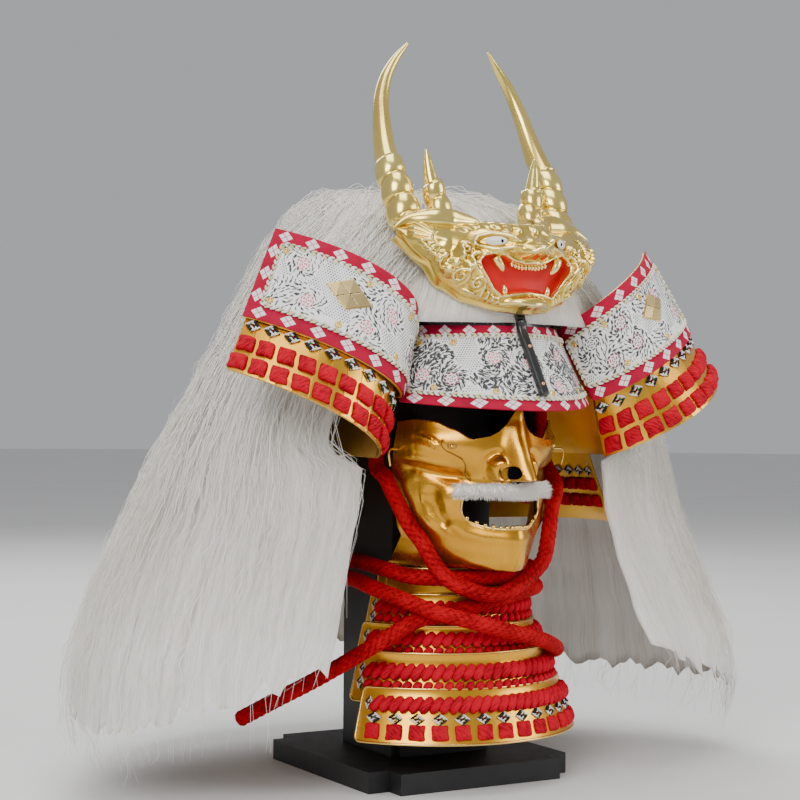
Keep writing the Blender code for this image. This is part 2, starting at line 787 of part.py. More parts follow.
LARGE_HORN = (
    # shares of the rise, inward and backward sweep, and of the radius
    (0.0, 0.0, 0.0, 0.926),
    (0.06, -0.03, 0.1, 1.0),
    (0.11, -0.05, 0.16, 0.778),
    (0.17, -0.07, 0.23, 0.978),
    (0.22, -0.1, 0.3, 0.756),
    (0.27, -0.11, 0.37, 0.889),
    (0.34, -0.11, 0.49, 0.77),
    (0.44, -0.05, 0.64, 0.681),
    (0.55, 0.02, 0.77, 0.585),
    (0.67, 0.12, 0.89, 0.504),
    (0.8, 0.34, 0.98, 0.4),
    (0.91, 0.66, 1.02, 0.267),
    (1.0, 1.0, 1.0, 0.074),
)
SMALL_HORN = (
    (0.0, 0.0, 0.0, 0.909),
    (0.1, 0.1, 0.15, 1.0),
    (0.22, 0.26, 0.35, 0.773),
    (0.34, 0.42, 0.5, 0.891),
    (0.46, 0.56, 0.64, 0.636),
    (0.64, 0.74, 0.8, 0.509),
    (0.84, 0.9, 0.93, 0.327),
    (1.0, 1.0, 1.0, 0.091),
)
HORN_COLUMNS = (
    "name", "out", "behind", "above", "rise", "inward", "backward", "radius", "shape",
)
# The foot is given from the crest's front and top, and the sweep from the foot.
HORNS = (
    ("large", 0.0755, 0.0730, -0.0014, 0.1644, 0.0345, 0.0605, 0.0135, LARGE_HORN),
    ("small", 0.0440, 0.0695, 0.0032, 0.0593, -0.0110, 0.0085, 0.0110, SMALL_HORN),
)


def make_crest(parts):
    face = grid("crest_face", crest_point, steps(-1, 1, CREST_COLUMNS), steps(0, 1, CREST_ROWS), flip=True)
    made = add_object("crest_face", face, POLISHED, parts)
    add_solidify(made, CREST_WALL, -1.0)
    facing(
        "crest_mouth", crest_point, steps(-8 / CREST_COLUMNS, 8 / CREST_COLUMNS, 8),
        steps(3 / CREST_ROWS, 5 / CREST_ROWS, 2),
        CLEARANCE * 1.5, FACING, RED, parts,
    )
    for row in HORNS:
        horn = dict(zip(HORN_COLUMNS, row))
        for side, label in ((-1, "right"), (1, "left")):
            points = [
                Vector((
                    (horn["out"] - horn["inward"] * inward) * side,
                    crest_front() + horn["behind"] + horn["backward"] * backward,
                    CREST_TOP_Z + horn["above"] + horn["rise"] * up,
                ))
                for up, inward, backward, _ in horn["shape"]
            ]
            radii = [horn["radius"] * share[3] for share in horn["shape"]]
            tube(f"crest_horn_{horn['name']}_{label}", points, radii, POLISHED, parts)
    make_stem(parts)


def make_stem(parts):
    """A rod that stands on the visor and carries the crest."""
    normal = front_normal(visor_point, 0.0, 0.5)
    rod = STEM_RADIUS + CLEARANCE * 2 + FACING
    foot = visor_point(0.0, 0.86) + normal * rod
    knee = visor_point(0.0, 0.12) + normal * rod
    back_y = crest_front() + CREST_BULGE + STEM_RADIUS
    points = [
        foot, foot.lerp(knee, 0.5), knee,
        Vector((0, knee.y + (back_y - knee.y) * 0.4, knee.z + 0.010)),
        Vector((0, back_y, CREST_CHIN_Z - 0.004)), Vector((0, back_y, CREST_CHIN_Z + 0.040)),
    ]
    tube("crest_stem", points, [STEM_RADIUS * 0.8] + [STEM_RADIUS] * 5, BLACK, parts)


# Cords, each along its route of x, y and z in metres

CHIN_CORD = (
    (-0.079, -0.027, 0.369), (-0.080, -0.025, 0.340), (-0.083, -0.020, 0.307),
    (-0.084, -0.021, 0.274), (-0.084, -0.037, 0.264), (-0.078, -0.040, 0.250),
    (-0.068, -0.050, 0.224), (-0.061, -0.058, 0.211), (-0.050, -0.064, 0.190),
    (-0.0395, -0.0735, 0.177), (-0.019, -0.082, 0.168), (0.000, -0.084, 0.166),
    (0.018, -0.082, 0.172), (0.036, -0.075, 0.179), (0.053, -0.071, 0.192),
    (0.061, -0.067, 0.211), (0.065, -0.066, 0.235), (0.082, -0.048, 0.255),
    (0.087, -0.024, 0.275), (0.084, -0.020, 0.307), (0.080, -0.025, 0.340),
    (0.079, -0.027, 0.369),
)
NECK_CORD = (
    (-0.182, 0.042, 0.056), (-0.160, 0.012, 0.076), (-0.136, -0.014, 0.095),
    (-0.108, -0.038, 0.117), (-0.080, -0.057, 0.138), (-0.062, -0.059, 0.146),
    (-0.043, -0.062, 0.149), (-0.019, -0.071, 0.156), (0.012, -0.071, 0.162),
    (0.042, -0.061, 0.166), (0.068, -0.038, 0.167), (0.080, -0.004, 0.166),
    (0.077, 0.040, 0.168), (0.071, 0.084, 0.169), (0.060, 0.107, 0.171),
    (0.040, 0.114, 0.173), (0.000, 0.113, 0.177), (-0.040, 0.114, 0.181),
    (-0.062, 0.104, 0.184), (-0.074, 0.064, 0.187), (-0.078, 0.022, 0.189),
    (-0.073, -0.018, 0.185), (-0.060, -0.040, 0.180), (-0.037, -0.058, 0.179),
    (-0.012, -0.067, 0.179), (0.016, -0.0665, 0.178), (0.045, -0.053, 0.178),
    (0.066, -0.036, 0.181), (0.079, -0.006, 0.182), (0.086, 0.032, 0.181),
    (0.085, 0.074, 0.179), (0.076, 0.108, 0.177), (0.052, 0.128, 0.176),
    (0.018, 0.129, 0.175), (-0.020, 0.129, 0.173), (-0.052, 0.127, 0.171),
    (-0.078, 0.108, 0.170), (-0.092, 0.072, 0.171), (-0.095, 0.034, 0.174),
    (-0.093, 0.004, 0.176), (-0.088, -0.026, 0.170), (-0.076, -0.051, 0.163),
    (-0.059, -0.072, 0.154), (-0.036, -0.085, 0.147), (-0.010, -0.090, 0.140),
    (0.020, -0.089, 0.132), (0.051, -0.075, 0.124), (0.078, -0.053, 0.115),
    (0.098, -0.026, 0.108), (0.105, 0.006, 0.103), (0.098, 0.040, 0.101),
    (0.085, 0.066, 0.101),
)


def make_cords(parts):
    for name, route in (("chin_cord", CHIN_CORD), ("neck_cord", NECK_CORD)):
        points = smooth_route([Vector(row) for row in route], CORD_SPACING)
        tube(name, points, [CORD_RADIUS] * len(points), RED, parts)


# Hair

HAIR_SECTIONS = (
    # height share, centre, half-width, front depth, back depth and front edge, as shares
    (-0.06, 0.1293, 0.97, 0.64, 1.15, 0.5138),
    (0.0, 0.1293, 1.0, 0.647, 1.165, 0.5046),
    (0.1, 0.1509, 0.99, 0.64, 1.12, 0.5046),
    (0.2, 0.194, 0.96, 0.616, 0.99, 0.4526),
    (0.3, 0.2155, 0.917, 0.595, 0.867, 0.4128),
    (0.39, 0.1983, 0.87, 0.56, 0.806, 0.3823),
    (0.465, 0.1853, 0.835, 0.552, 0.78, 0.3731),
    (0.485, 0.1767, 0.825, 0.552, 0.765, 0.4587),
    (0.52, 0.1681, 0.8, 0.556, 0.741, 0.4587),
    (0.61, 0.1724, 0.72, 0.582, 0.724, 0.4128),
    (0.714, 0.181, 0.627, 0.642, 0.69, 0.3609),
    (0.78, 0.1897, 0.58, 0.642, 0.668, 0.3609),
    (0.855, 0.2155, 0.505, 0.57, 0.625, 0.3609),
    (0.93, 0.2716, 0.385, 0.49, 0.53, 0.3609),
    (0.98, 0.3362, 0.275, 0.302, 0.388, 0.3609),
    (1.0, 0.3664, 0.02, 0.02, 0.02, 0.3609),
)


def hair_section(z):
    share = (z - HAIR_FLOOR_Z) / (HAIR_TOP_Z - HAIR_FLOOR_Z)
    read = [smooth_table(HAIR_SECTIONS, share, column) for column in range(1, 6)]
    centre, wide, front, back, edge = read
    return (
        centre * HAIR_DEPTH, wide * HAIR_HALF_WIDTH, front * HAIR_DEPTH, back * HAIR_DEPTH,
        edge * HAIR_HALF_WIDTH,
    )


def hair_outside(angle, z, power=2.0, swell=1.0):
    """The hair's outside at an angle from the front, and a height."""
    centre, wide, front, back, _ = hair_section(z)
    depth = front if math.cos(angle) > 0 else back
    bend = 2.0 / (power if math.cos(angle) > 0 else 2.0)
    across = math.copysign(abs(math.sin(angle)) ** bend, math.sin(angle))
    along = math.copysign(abs(math.cos(angle)) ** bend, math.cos(angle))
    return Vector((wide * across * swell, centre - depth * along * swell, z))


MANTLE_HEM = (
    # share from the front edge to the back, height of the hem as a share of HAIR_FLOOR_Z
    (0.0, 1.4921),
    (0.06, 0.9841),
    (0.14, 0.6349),
    (0.3, 0.6349),
    (0.5, 1.0476),
)


def mantle_point(u, v):
    """u runs round the back from one front edge to the other, v from the split down to the hem."""
    lock = abs(math.sin(math.pi * u * HAIR_LOCKS))
    hem = HAIR_FLOOR_Z * smooth_table(MANTLE_HEM, 0.5 - abs(u - 0.5), 1) + HEM_NOTCH * (1 - lock)
    z = HAIR_SPLIT_Z + (hem - HAIR_SPLIT_Z) * v
    _, wide, _, _, edge = hair_section(z)
    first = math.asin(min(1.0, edge / wide))
    angle = first + (2 * math.pi - 2 * first) * u
    return hair_outside(angle, z, swell=1 - 0.030 * v * (1 - lock))


CROWN_NOTCH = (
    # angle in degrees from the front, rise of the edge as a share of NOTCH_RISE
    (0.0, 1.0),
    (24.0, 1.0),
    (38.0, 0.72),
    (50.0, 0.0),
)


def make_hair(parts):
    mantle = grid(
        "hair_mantle", mantle_point, steps(0, 1, HAIR_LOCKS * 2), steps(0, 1, 8), flip=True
    )
    made = add_object("hair_mantle", mantle, HAIR, parts)
    add_solidify(made, HAIR_THICKNESS, -1.0)
    make_crown(parts)


def make_crown(parts):
    """The hair on the bowl: its inside follows the bowl and its outside the sections."""
    mesh = bpy.data.meshes.new("hair_crown")
    built = bmesh.new()
    bowl_top = BOWL_RIM_Z + BOWL_RISE + HAIR_INNER_GAP
    rings = []

    def edge_z(angle):
        degrees = abs(math.degrees(math.atan2(math.sin(angle), math.cos(angle))))
        return HAIR_SPLIT_Z + CLEARANCE * 1.5 + NOTCH_RISE * smooth_table(CROWN_NOTCH, degrees, 1)

    for share in (0.97, 0.88, 0.72, 0.50, 0.25, 0.0):
        ring = []
        for i in range(HAIR_COLUMNS):
            angle = 2 * math.pi * i / HAIR_COLUMNS
            low = edge_z(angle)
            z = low + (bowl_top - low) * share
            up = (z - BOWL_RIM_Z) / (BOWL_RISE + HAIR_INNER_GAP)
            level = math.sqrt(max(0.0, 1 - up * up))
            place = ellipse_point(
                (BOWL_HALF_WIDTH + HAIR_INNER_GAP) * level, (BOWL_HALF_LENGTH + HAIR_INNER_GAP) * level,
                BOWL_CENTRE_Y, angle, z,
            )
            ring.append(built.verts.new(place))
        rings.append(ring)
    for share in (0.0, 0.2, 0.42, 0.64, 0.82, 0.94):
        ring = []
        for i in range(HAIR_COLUMNS):
            angle = 2 * math.pi * i / HAIR_COLUMNS
            low = edge_z(angle)
            z = low + (HAIR_TOP_Z - low) * share
            swell = 1 + 0.008 * (1 if i % 2 else -1)
            ring.append(built.verts.new(hair_outside(angle, z, 1.7, swell)))
        rings.append(ring)
    for low, high in zip(rings, rings[1:]):
        for i in range(HAIR_COLUMNS):
            j = (i + 1) % HAIR_COLUMNS
            built.faces.new((low[i], low[j], high[j], high[i]))
    inner_top = built.verts.new((0, BOWL_CENTRE_Y, bowl_top))
    outer_top = built.verts.new((0, hair_section(HAIR_TOP_Z)[0], HAIR_TOP_Z))
    for i in range(HAIR_COLUMNS):
        j = (i + 1) % HAIR_COLUMNS
        built.faces.new((rings[0][j], rings[0][i], inner_top))
        built.faces.new((rings[-1][i], rings[-1][j], outer_top))
    bmesh.ops.recalc_face_normals(built, faces=built.faces)
    built.to_mesh(mesh)
    built.free()
    add_object("hair_crown", mesh, HAIR, parts)


# Stand


def make_box(name, low, high, finish, group, bevel=0.0):
    mesh = bpy.data.meshes.new(name)
    built = bmesh.new()
    bmesh.ops.create_cube(built, size=1.0)
    for vertex in built.verts:
        for axis in range(3):
            middle = (low[axis] + high[axis]) / 2
            vertex.co[axis] = middle + vertex.co[axis] * (high[axis] - low[axis])
    if bevel:
        upright = [
            edge for edge in built.edges
            if abs(edge.verts[0].co.z - edge.verts[1].co.z) > 0.001
        ]
        bmesh.ops.bevel(built, geom=upright, offset=bevel, segments=4, affect="EDGES")
    built.to_mesh(mesh)
    built.free()
    return add_object(name, mesh, finish, group)


def make_stand(parts):
    make_box(
        "stand_base", (-BASE_WIDTH / 2, BASE_CENTRE_Y - BASE_DEPTH / 2, 0.0),
        (BASE_WIDTH / 2, BASE_CENTRE_Y + BASE_DEPTH / 2, BASE_HEIGHT), BLACK, parts, bevel=0.020,
    )
    half = POST_WIDTH / 2
    make_box(
        "stand_post", (-half, POST_CENTRE_Y - half, BASE_HEIGHT + CLEARANCE),
        (half, POST_CENTRE_Y + half, POST_TOP_Z), BLACK, parts, bevel=0.006,
    )
    arm_z = MASK_CHIN_Z + ARM_RISE
    inner = mask_surface(math.radians(6.0), (ARM_RISE - ARM_HALF_HEIGHT) / MASK_HEIGHT)
    make_box(
        "stand_mask_arm", (-ARM_HALF_WIDTH, inner.y + MASK_WALL + ARM_GAP, arm_z - ARM_HALF_HEIGHT),
        (ARM_HALF_WIDTH, POST_CENTRE_Y - half - CLEARANCE, arm_z + ARM_HALF_HEIGHT), BLACK,
        parts,
    )
    mesh = bpy.data.meshes.new("stand_head_pad")
    built = bmesh.new()
    bmesh.ops.create_uvsphere(built, u_segments=20, v_segments=12, radius=1.0)
    foot = POST_TOP_Z + CLEARANCE
    top = BOWL_RIM_Z + BOWL_RISE - PLATE - CLEARANCE * 4
    for vertex in built.verts:
        vertex.co.x *= BOWL_HALF_WIDTH * PAD_SHARE
        vertex.co.y = vertex.co.y * BOWL_HALF_LENGTH * PAD_SHARE + PAD_CENTRE_Y
        vertex.co.z = foot + vertex.co.z * (top - foot)
    below = [vertex for vertex in built.verts if vertex.co.z < foot - 0.001]
    bmesh.ops.delete(built, geom=below, context="VERTS")
    rim = [edge for edge in built.edges if edge.is_boundary]
    bmesh.ops.contextual_create(built, geom=rim)
    bmesh.ops.recalc_face_normals(built, faces=built.faces)
    built.to_mesh(mesh)
    built.free()
    add_object("stand_head_pad", mesh, BLACK, parts)


def main():
    clear_scene()
    parts = collection("samurai_helmet_and_mask")
    helpers = collection("cutters")
    make_stand(parts)
    make_bowl(parts)
    make_visor(parts)
    make_neck_guard(parts)
    make_wings(parts)
    make_mask(parts, helpers)
    make_throat_guard(parts)
    make_crest(parts)
    make_cords(parts)
    make_hair(parts)


main()
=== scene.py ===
import math

import bpy
import numpy as np
from mathutils import Matrix, Vector


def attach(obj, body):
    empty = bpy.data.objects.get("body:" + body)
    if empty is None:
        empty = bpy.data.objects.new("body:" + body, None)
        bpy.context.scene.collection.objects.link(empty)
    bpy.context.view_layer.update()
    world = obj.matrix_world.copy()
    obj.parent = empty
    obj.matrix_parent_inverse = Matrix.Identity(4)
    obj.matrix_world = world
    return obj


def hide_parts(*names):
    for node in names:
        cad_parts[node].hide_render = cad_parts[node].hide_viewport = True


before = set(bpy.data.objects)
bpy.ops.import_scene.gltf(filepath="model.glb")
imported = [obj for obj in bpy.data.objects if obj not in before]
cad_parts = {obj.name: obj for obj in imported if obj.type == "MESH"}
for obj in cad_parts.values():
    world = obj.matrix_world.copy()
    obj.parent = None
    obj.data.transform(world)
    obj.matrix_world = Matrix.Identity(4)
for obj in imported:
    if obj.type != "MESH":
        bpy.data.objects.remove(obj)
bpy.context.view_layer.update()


# small mesh helpers
def asArray(values):
    return np.asarray(values, float)


def unit(vectors):
    length = np.linalg.norm(vectors, axis=-1, keepdims=True)
    return vectors / np.maximum(length, 1e-12)


def roundTurn(count):
    # angles of evenly spaced points round a circle
    return 2 * math.pi * np.arange(count) / count


def runLength(path):
    # metres from the path's start to each of its points
    return np.concatenate([[0], np.cumsum(np.linalg.norm(np.diff(path, axis=0), axis=1))])


def addPiece(name, points, faces, finish, slot, replaces=(), lay=None, smooth=True):
    # one mesh from arrays of points and faces, riding on the part's only body
    mesh = bpy.data.meshes.new(name)
    mesh.from_pydata(asArray(points).reshape(-1, 3).tolist(), [], [list(f) for f in faces])
    mesh.update()
    if smooth:
        mesh.shade_smooth()
    mesh.materials.append(finish)
    if lay is not None:
        stored = mesh.attributes.new("lay", "FLOAT_VECTOR", "POINT")
        stored.data.foreach_set("vector", asArray(lay).astype(np.float32).ravel())
    piece = bpy.data.objects.new(name, mesh)
    bpy.context.scene.collection.objects.link(piece)
    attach(piece, "root")
    if replaces:
        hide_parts(*replaces)
    return piece


def gridFaces(rows, columns, start=0, wrapColumns=False, wrapRows=False, flip=False):
    # quads of a grid whose points run row by row
    i = np.arange(rows if wrapRows else rows - 1)
    j = np.arange(columns if wrapColumns else columns - 1)
    i, j = [a.ravel() for a in np.meshgrid(i, j, indexing="ij")]
    nextI, nextJ = (i + 1) % rows, (j + 1) % columns
    quads = np.stack([i * columns + j, nextI * columns + j, nextI * columns + nextJ, i * columns + nextJ], 1)
    return (quads[:, ::-1] if flip else quads) + start


def rimPairs(rows, columns):
    # the pairs of neighbouring points round the rim of a grid
    last = rows * columns - 1
    rim = list(range(columns)) + [i * columns + columns - 1 for i in range(1, rows)]
    rim += [last - k for k in range(1, columns)] + [i * columns for i in range(rows - 2, 0, -1)]
    return list(zip(rim, rim[1:] + rim[:1]))


def thicken(piece, thickness):
    # the wall grows behind the sheet
    wall = piece.modifiers.new("Wall", "SOLIDIFY")
    wall.thickness = thickness
    wall.offset = -1.0
    wall.use_even_offset = False


def soften(piece, width, segments=2):
    edge = piece.modifiers.new("Edge", "BEVEL")
    edge.width = width
    edge.segments = segments
    edge.limit_method = "ANGLE"
    edge.angle_limit = math.radians(50)


def curveFrames(path, reference=None):
    # directions across and up for each point of a path, turning as little as possible
    path = asArray(path)
    along = unit(np.gradient(path, axis=0))
    if reference is not None:
        reference = np.broadcast_to(reference, path.shape)
        up = unit(reference - (reference * along).sum(1, keepdims=True) * along)
        return np.cross(along, up), up
    start = np.array([0, 0, 1.0]) if abs(along[0, 2]) < 0.9 else np.array([1.0, 0, 0])
    up = np.zeros_like(path)
    up[0] = unit(start - (start @ along[0]) * along[0])
    for k in range(1, len(path)):
        turned = up[k - 1] - (up[k - 1] @ along[k]) * along[k]
        up[k] = turned / np.linalg.norm(turned)
    return np.cross(along, up), up


def sweep(path, radii, sides, reference=None, flat=1.0):
    # a closed tube: radii is one number for each point, or one for each point and side
    path = asArray(path)
    across, up = curveFrames(path, reference)
    radii = asArray(radii)
    if radii.ndim < 2:
        radii = np.broadcast_to(radii.reshape(-1, 1), (len(path), sides))
    angle = roundTurn(sides)
    rings = (
        path[:, None] + across[:, None] * (np.cos(angle) * radii)[..., None]
        + up[:, None] * (np.sin(angle) * radii * flat)[..., None]
    )
    faces = gridFaces(len(path), sides, wrapColumns=True).tolist()
    faces.append(list(range(sides)))
    faces.append([(len(path) - 1) * sides + k for k in range(sides)][::-1])
    return rings.reshape(-1, 3), faces


def joined(parts):
    # several (points, faces) as one
    points, faces, start = [], [], 0
    for somePoints, someFaces in parts:
        points.append(asArray(somePoints).reshape(-1, 3))
        faces += [[k + start for k in face] for face in someFaces]
        start += len(points[-1])
    return np.concatenate(points), faces


def smoothPath(route, spacing):
    # evenly spaced points on a smooth curve through the route's points
    route = asArray(route)
    ends = np.vstack([2 * route[0] - route[1], route, 2 * route[-1] - route[-2]])
    t = np.linspace(0, 1, 40, endpoint=False)[:, None]
    fine = []
    for a, b, c, d in zip(ends, ends[1:], ends[2:], ends[3:]):
        fine.append(
            0.5 * (2 * b + (c - a) * t + (2 * a - 5 * b + 4 * c - d) * t**2 + (3 * b - a - 3 * c + d) * t**3)
        )
    fine = np.vstack(fine + [route[-1:]])
    along = runLength(fine)
    at = np.linspace(0, along[-1], max(3, round(along[-1] / spacing) + 1))
    return np.stack([np.interp(at, along, fine[:, k]) for k in range(3)], 1), along[-1]


def readTable(rows, key, column):
    # a column of a table at a key, eased between its rows as in the part's source
    keys, values = asArray([r[0] for r in rows]), asArray([r[column] for r in rows])
    key = asArray(key)
    i = np.clip(np.searchsorted(keys, key, side="left") - 1, 0, len(keys) - 2)
    share = np.clip((key - keys[i]) / (keys[i + 1] - keys[i]), 0, 1)
    share = 0.5 * (share + share * share * (3 - 2 * share))
    return values[i] + (values[i + 1] - values[i]) * share


def readLine(rows, key, column=1):
    # a column of a table at a key, straight between its rows
    return np.interp(key, [row[0] for row in rows], [row[column] for row in rows])


def vector3(x, y, z):
    x, y, z = np.broadcast_arrays(asArray(x), asArray(y), asArray(z))
    return np.stack([x, y, z], -1)


def ovalPoint(halfWidth, halfLength, centreY, angle, z):
    return vector3(halfWidth * np.sin(angle), centreY - halfLength * np.cos(angle), z)


def frontNormal(sheet, u, v):
    step = 0.002
    along = sheet(u + step, v) - sheet(u - step, v)
    down = sheet(u, v + step) - sheet(u, v - step)
    return unit(np.cross(down, along))


def bezierPoint(points, t):
    t = asArray(t)[..., None]
    a, b, c, d = [asArray(p) for p in points]
    return a * (1 - t) ** 3 + b * 3 * t * (1 - t) ** 2 + c * 3 * t**2 * (1 - t) + d * t**3


# finishes
def addNode(tree, kind, *inputs, out=0, **settings):
    made = tree.nodes.new("ShaderNode" + kind)
    for key, value in settings.items():
        setattr(made, key, value)
    for index, value in enumerate(inputs):
        if isinstance(value, bpy.types.NodeSocket):
            tree.links.new(value, made.inputs[index])
        elif value is not None:
            made.inputs[index].default_value = value
    return made.outputs[out]


def addMath(tree, operation, *inputs):
    return addNode(tree, "Math", *inputs, operation=operation)


def addRamp(tree, factor, stops):
    made = tree.nodes.new("ShaderNodeValToRGB")
    while len(made.color_ramp.elements) < len(stops):
        made.color_ramp.elements.new(0.5)
    for element, (place, colour) in zip(made.color_ramp.elements, stops):
        element.position = place
        element.color = (*colour, 1)
    tree.links.new(factor, made.inputs[0])
    return made.outputs[0]


def colourFrom(tree, shader, factor, stops):
    # the base colour follows a ramp
    tree.links.new(addRamp(tree, factor, stops), shader.inputs["Base Color"])


def addMix(tree, factor, first, second, kind="MIX"):
    made = tree.nodes.new("ShaderNodeMix")
    made.data_type = "RGBA"
    made.blend_type = kind
    for socket, value in ((made.inputs[0], factor), (made.inputs[6], first), (made.inputs[7], second)):
        if isinstance(value, bpy.types.NodeSocket):
            tree.links.new(value, socket)
        else:
            socket.default_value = value if socket.type == "VALUE" else (*value, 1)
    return made.outputs[2]


def addNoise(tree, place, scale, detail=3.0, roughness=0.5):
    made = tree.nodes.new("ShaderNodeTexNoise")
    made.inputs["Scale"].default_value = scale
    made.inputs["Detail"].default_value = detail
    made.inputs["Roughness"].default_value = roughness
    tree.links.new(place, made.inputs["Vector"])
    return made.outputs["Fac"]


def newFinish(name, roughness, metallic=0.0, **sockets):
    finish = bpy.data.materials.new(name)
    finish.use_nodes = True
    tree = finish.node_tree
    shader = tree.nodes["Principled BSDF"]
    shader.inputs["Roughness"].default_value = roughness
    shader.inputs["Metallic"].default_value = metallic
    for key, value in sockets.items():
        shader.inputs[key.replace("_", " ")].default_value = value
    place = addNode(tree, "TexCoord", out=3)
    return finish, tree, shader, place


def addBump(tree, shader, height, strength, distance):
    bump = tree.nodes.new("ShaderNodeBump")
    bump.inputs["Strength"].default_value = strength
    bump.inputs["Distance"].default_value = distance
    tree.links.new(height, bump.inputs["Height"])
    tree.links.new(bump.outputs[0], shader.inputs["Normal"])


def goldFinish(name, light, dark, worn, roughness, metallic, grain, coat=0.0, hollow=1.0):
    # lacquered or plated gold: slow colour drift, painted shade in the hollows (hollow sets its strength and
    # caps the wear), brighter worn edges, fine grain
    finish, tree, shader, place = newFinish(name, roughness, metallic, Coat_Weight=coat, Coat_Roughness=0.08)
    cloudy = addNoise(tree, place, 22.0, 4.0)
    fine = addNoise(tree, place, 900.0, 2.0)
    base = addRamp(tree, cloudy, [(0.3, dark), (0.7, light)])
    edge = addNode(tree, "NewGeometry", out=7)
    rubbed = addRamp(tree, edge, [(0.47, (0.35, 0.35, 0.35)), (0.5, (0.5, 0.5, 0.5)), (0.56, (1, 1, 1))])
    # painted shade: the colour darkens where the surface curves inward
    hollowShade = addRamp(tree, edge, [(0.4, (0.42, 0.3, 0.16)), (0.5, (1, 1, 1))])
    shaded = addMix(tree, hollow, base, hollowShade, "MULTIPLY")
    brightness = addMath(tree, "MULTIPLY_ADD", addNode(tree, "RGBToBW", rubbed), 1.6, -0.8)
    rubbing = addNode(tree, "Clamp", brightness, 0.0, 0.6 * hollow)
    tree.links.new(addMix(tree, rubbing, shaded, worn), shader.inputs["Base Color"])
    rough = addMath(tree, "MULTIPLY_ADD", addNoise(tree, place, 60.0, 5.0, 0.6), 0.16, roughness - 0.08)
    tree.links.new(rough, shader.inputs["Roughness"])
    addBump(tree, shader, fine, grain, 0.0004)
    return finish


def threadFinish(name, light, dark, fibres, roughness=0.68, sheen=0.1, grooveShade=0.0):
    # silk or cotton thread: fine fibres along the lay, darker between them, and for braids painted shade
    # where the strands sink between each other
    finish, tree, shader, place = newFinish(
        name, roughness, Sheen_Weight=sheen, Sheen_Roughness=0.4, Specular_IOR_Level=0.12,
    )
    shader.inputs["Sheen Tint"].default_value = (*light, 1)
    lay = addNode(tree, "Attribute", out=1, attribute_name="lay")
    stretched = addNode(tree, "VectorMath", lay, (fibres * 0.5, fibres * 2.6, 1.0), operation="MULTIPLY")
    strand = addNoise(tree, stretched, 1.0, 3.0, 0.65)
    cloudy = addNoise(tree, place, 45.0, 4.0)
    shade = addMath(tree, "MULTIPLY_ADD", cloudy, 0.45, addMath(tree, "MULTIPLY", strand, 0.75))
    # painted shade: colour darkens where the braid's strands sink
    if grooveShade:
        between = addMath(tree, "SUBTRACT", addNode(tree, "SeparateXYZ", lay, out=2), 0.85)
        shade = addMath(tree, "MULTIPLY_ADD", between, grooveShade, shade)
    colourFrom(tree, shader, shade, [(0.44, dark), (0.64, light)])
    addBump(tree, shader, strand, 0.8, 0.0012)
    return finish


goldLacquer = goldFinish(
    "goldLacquer", (0.9, 0.46, 0.026), (0.8, 0.38, 0.018), (1.0, 0.7, 0.18), 0.3, 0.92, 0.03, 0.25, 0.3,
)
paleGold = goldFinish(
    "paleGold", (0.9, 0.56, 0.14), (0.72, 0.38, 0.07), (1.0, 0.8, 0.34), 0.22, 0.9, 0.03, 0.25,
)
# the red cord's braid gets painted shade between its strands
redCord = threadFinish("redCord", (0.62, 0.002, 0.01), (0.2, 0.001, 0.004), 260.0, 0.72, 0.04, grooveShade=0.34)
redBraid = threadFinish("redBraid", (0.62, 0.002, 0.022), (0.24, 0.001, 0.008), 300.0, 0.72, 0.04)
blackThread = threadFinish("blackThread", (0.03, 0.03, 0.034), (0.008, 0.008, 0.01), 420.0, 0.7, 0.15)
whiteThread = threadFinish("whiteThread", (0.95, 0.94, 0.9), (0.62, 0.6, 0.55), 420.0, 0.7, 0.2)
cordCoreShade = threadFinish("cordCoreShade", (0.17, 0.21, 0.1), (0.05, 0.07, 0.03), 420.0, 0.7, 0.15)
greenThread = threadFinish("greenThread", (0.02, 0.22, 0.08), (0.01, 0.1, 0.04), 420.0, 0.7)
goldThread = threadFinish("goldThread", (0.86, 0.78, 0.52), (0.48, 0.38, 0.18), 420.0, 0.5, 0.2)
stitchThreads = {"black": blackThread, "white": whiteThread, "red": redCord, "green": greenThread}
print("finishes ready")

# camera, as far to the wearer's right as the photograph
camera = {
    "look": (0.0, 0.085, 0.33), "azimuth": -30.0, "elevation": -0.4, "roll": 0.4, "distance": 1.7,
    "lens": 83.15,
}


def makeCamera(size):
    azimuth, elevation = math.radians(size["azimuth"]), math.radians(size["elevation"])
    back = Vector((
        math.sin(azimuth) * math.cos(elevation), -math.cos(azimuth) * math.cos(elevation), math.sin(elevation)
    ))
    right = Vector((math.cos(azimuth), math.sin(azimuth), 0))
    up = back.cross(right)
    roll = math.radians(size["roll"])
    right, up = right * math.cos(roll) + up * math.sin(roll), up * math.cos(roll) - right * math.sin(roll)
    data = bpy.data.cameras.new("camera")
    data.lens = size["lens"]
    data.sensor_width = 36.0
    data.clip_end = 60.0
    made = bpy.data.objects.new("camera", data)
    bpy.context.scene.collection.objects.link(made)
    place = Vector(size["look"]) + back * size["distance"]
    made.matrix_world = Matrix((
        (right.x, up.x, back.x, place.x), (right.y, up.y, back.y, place.y), (right.z, up.z, back.z, place.z),
        (0, 0, 0, 1)
    ))
    bpy.context.scene.camera = made


makeCamera(camera)

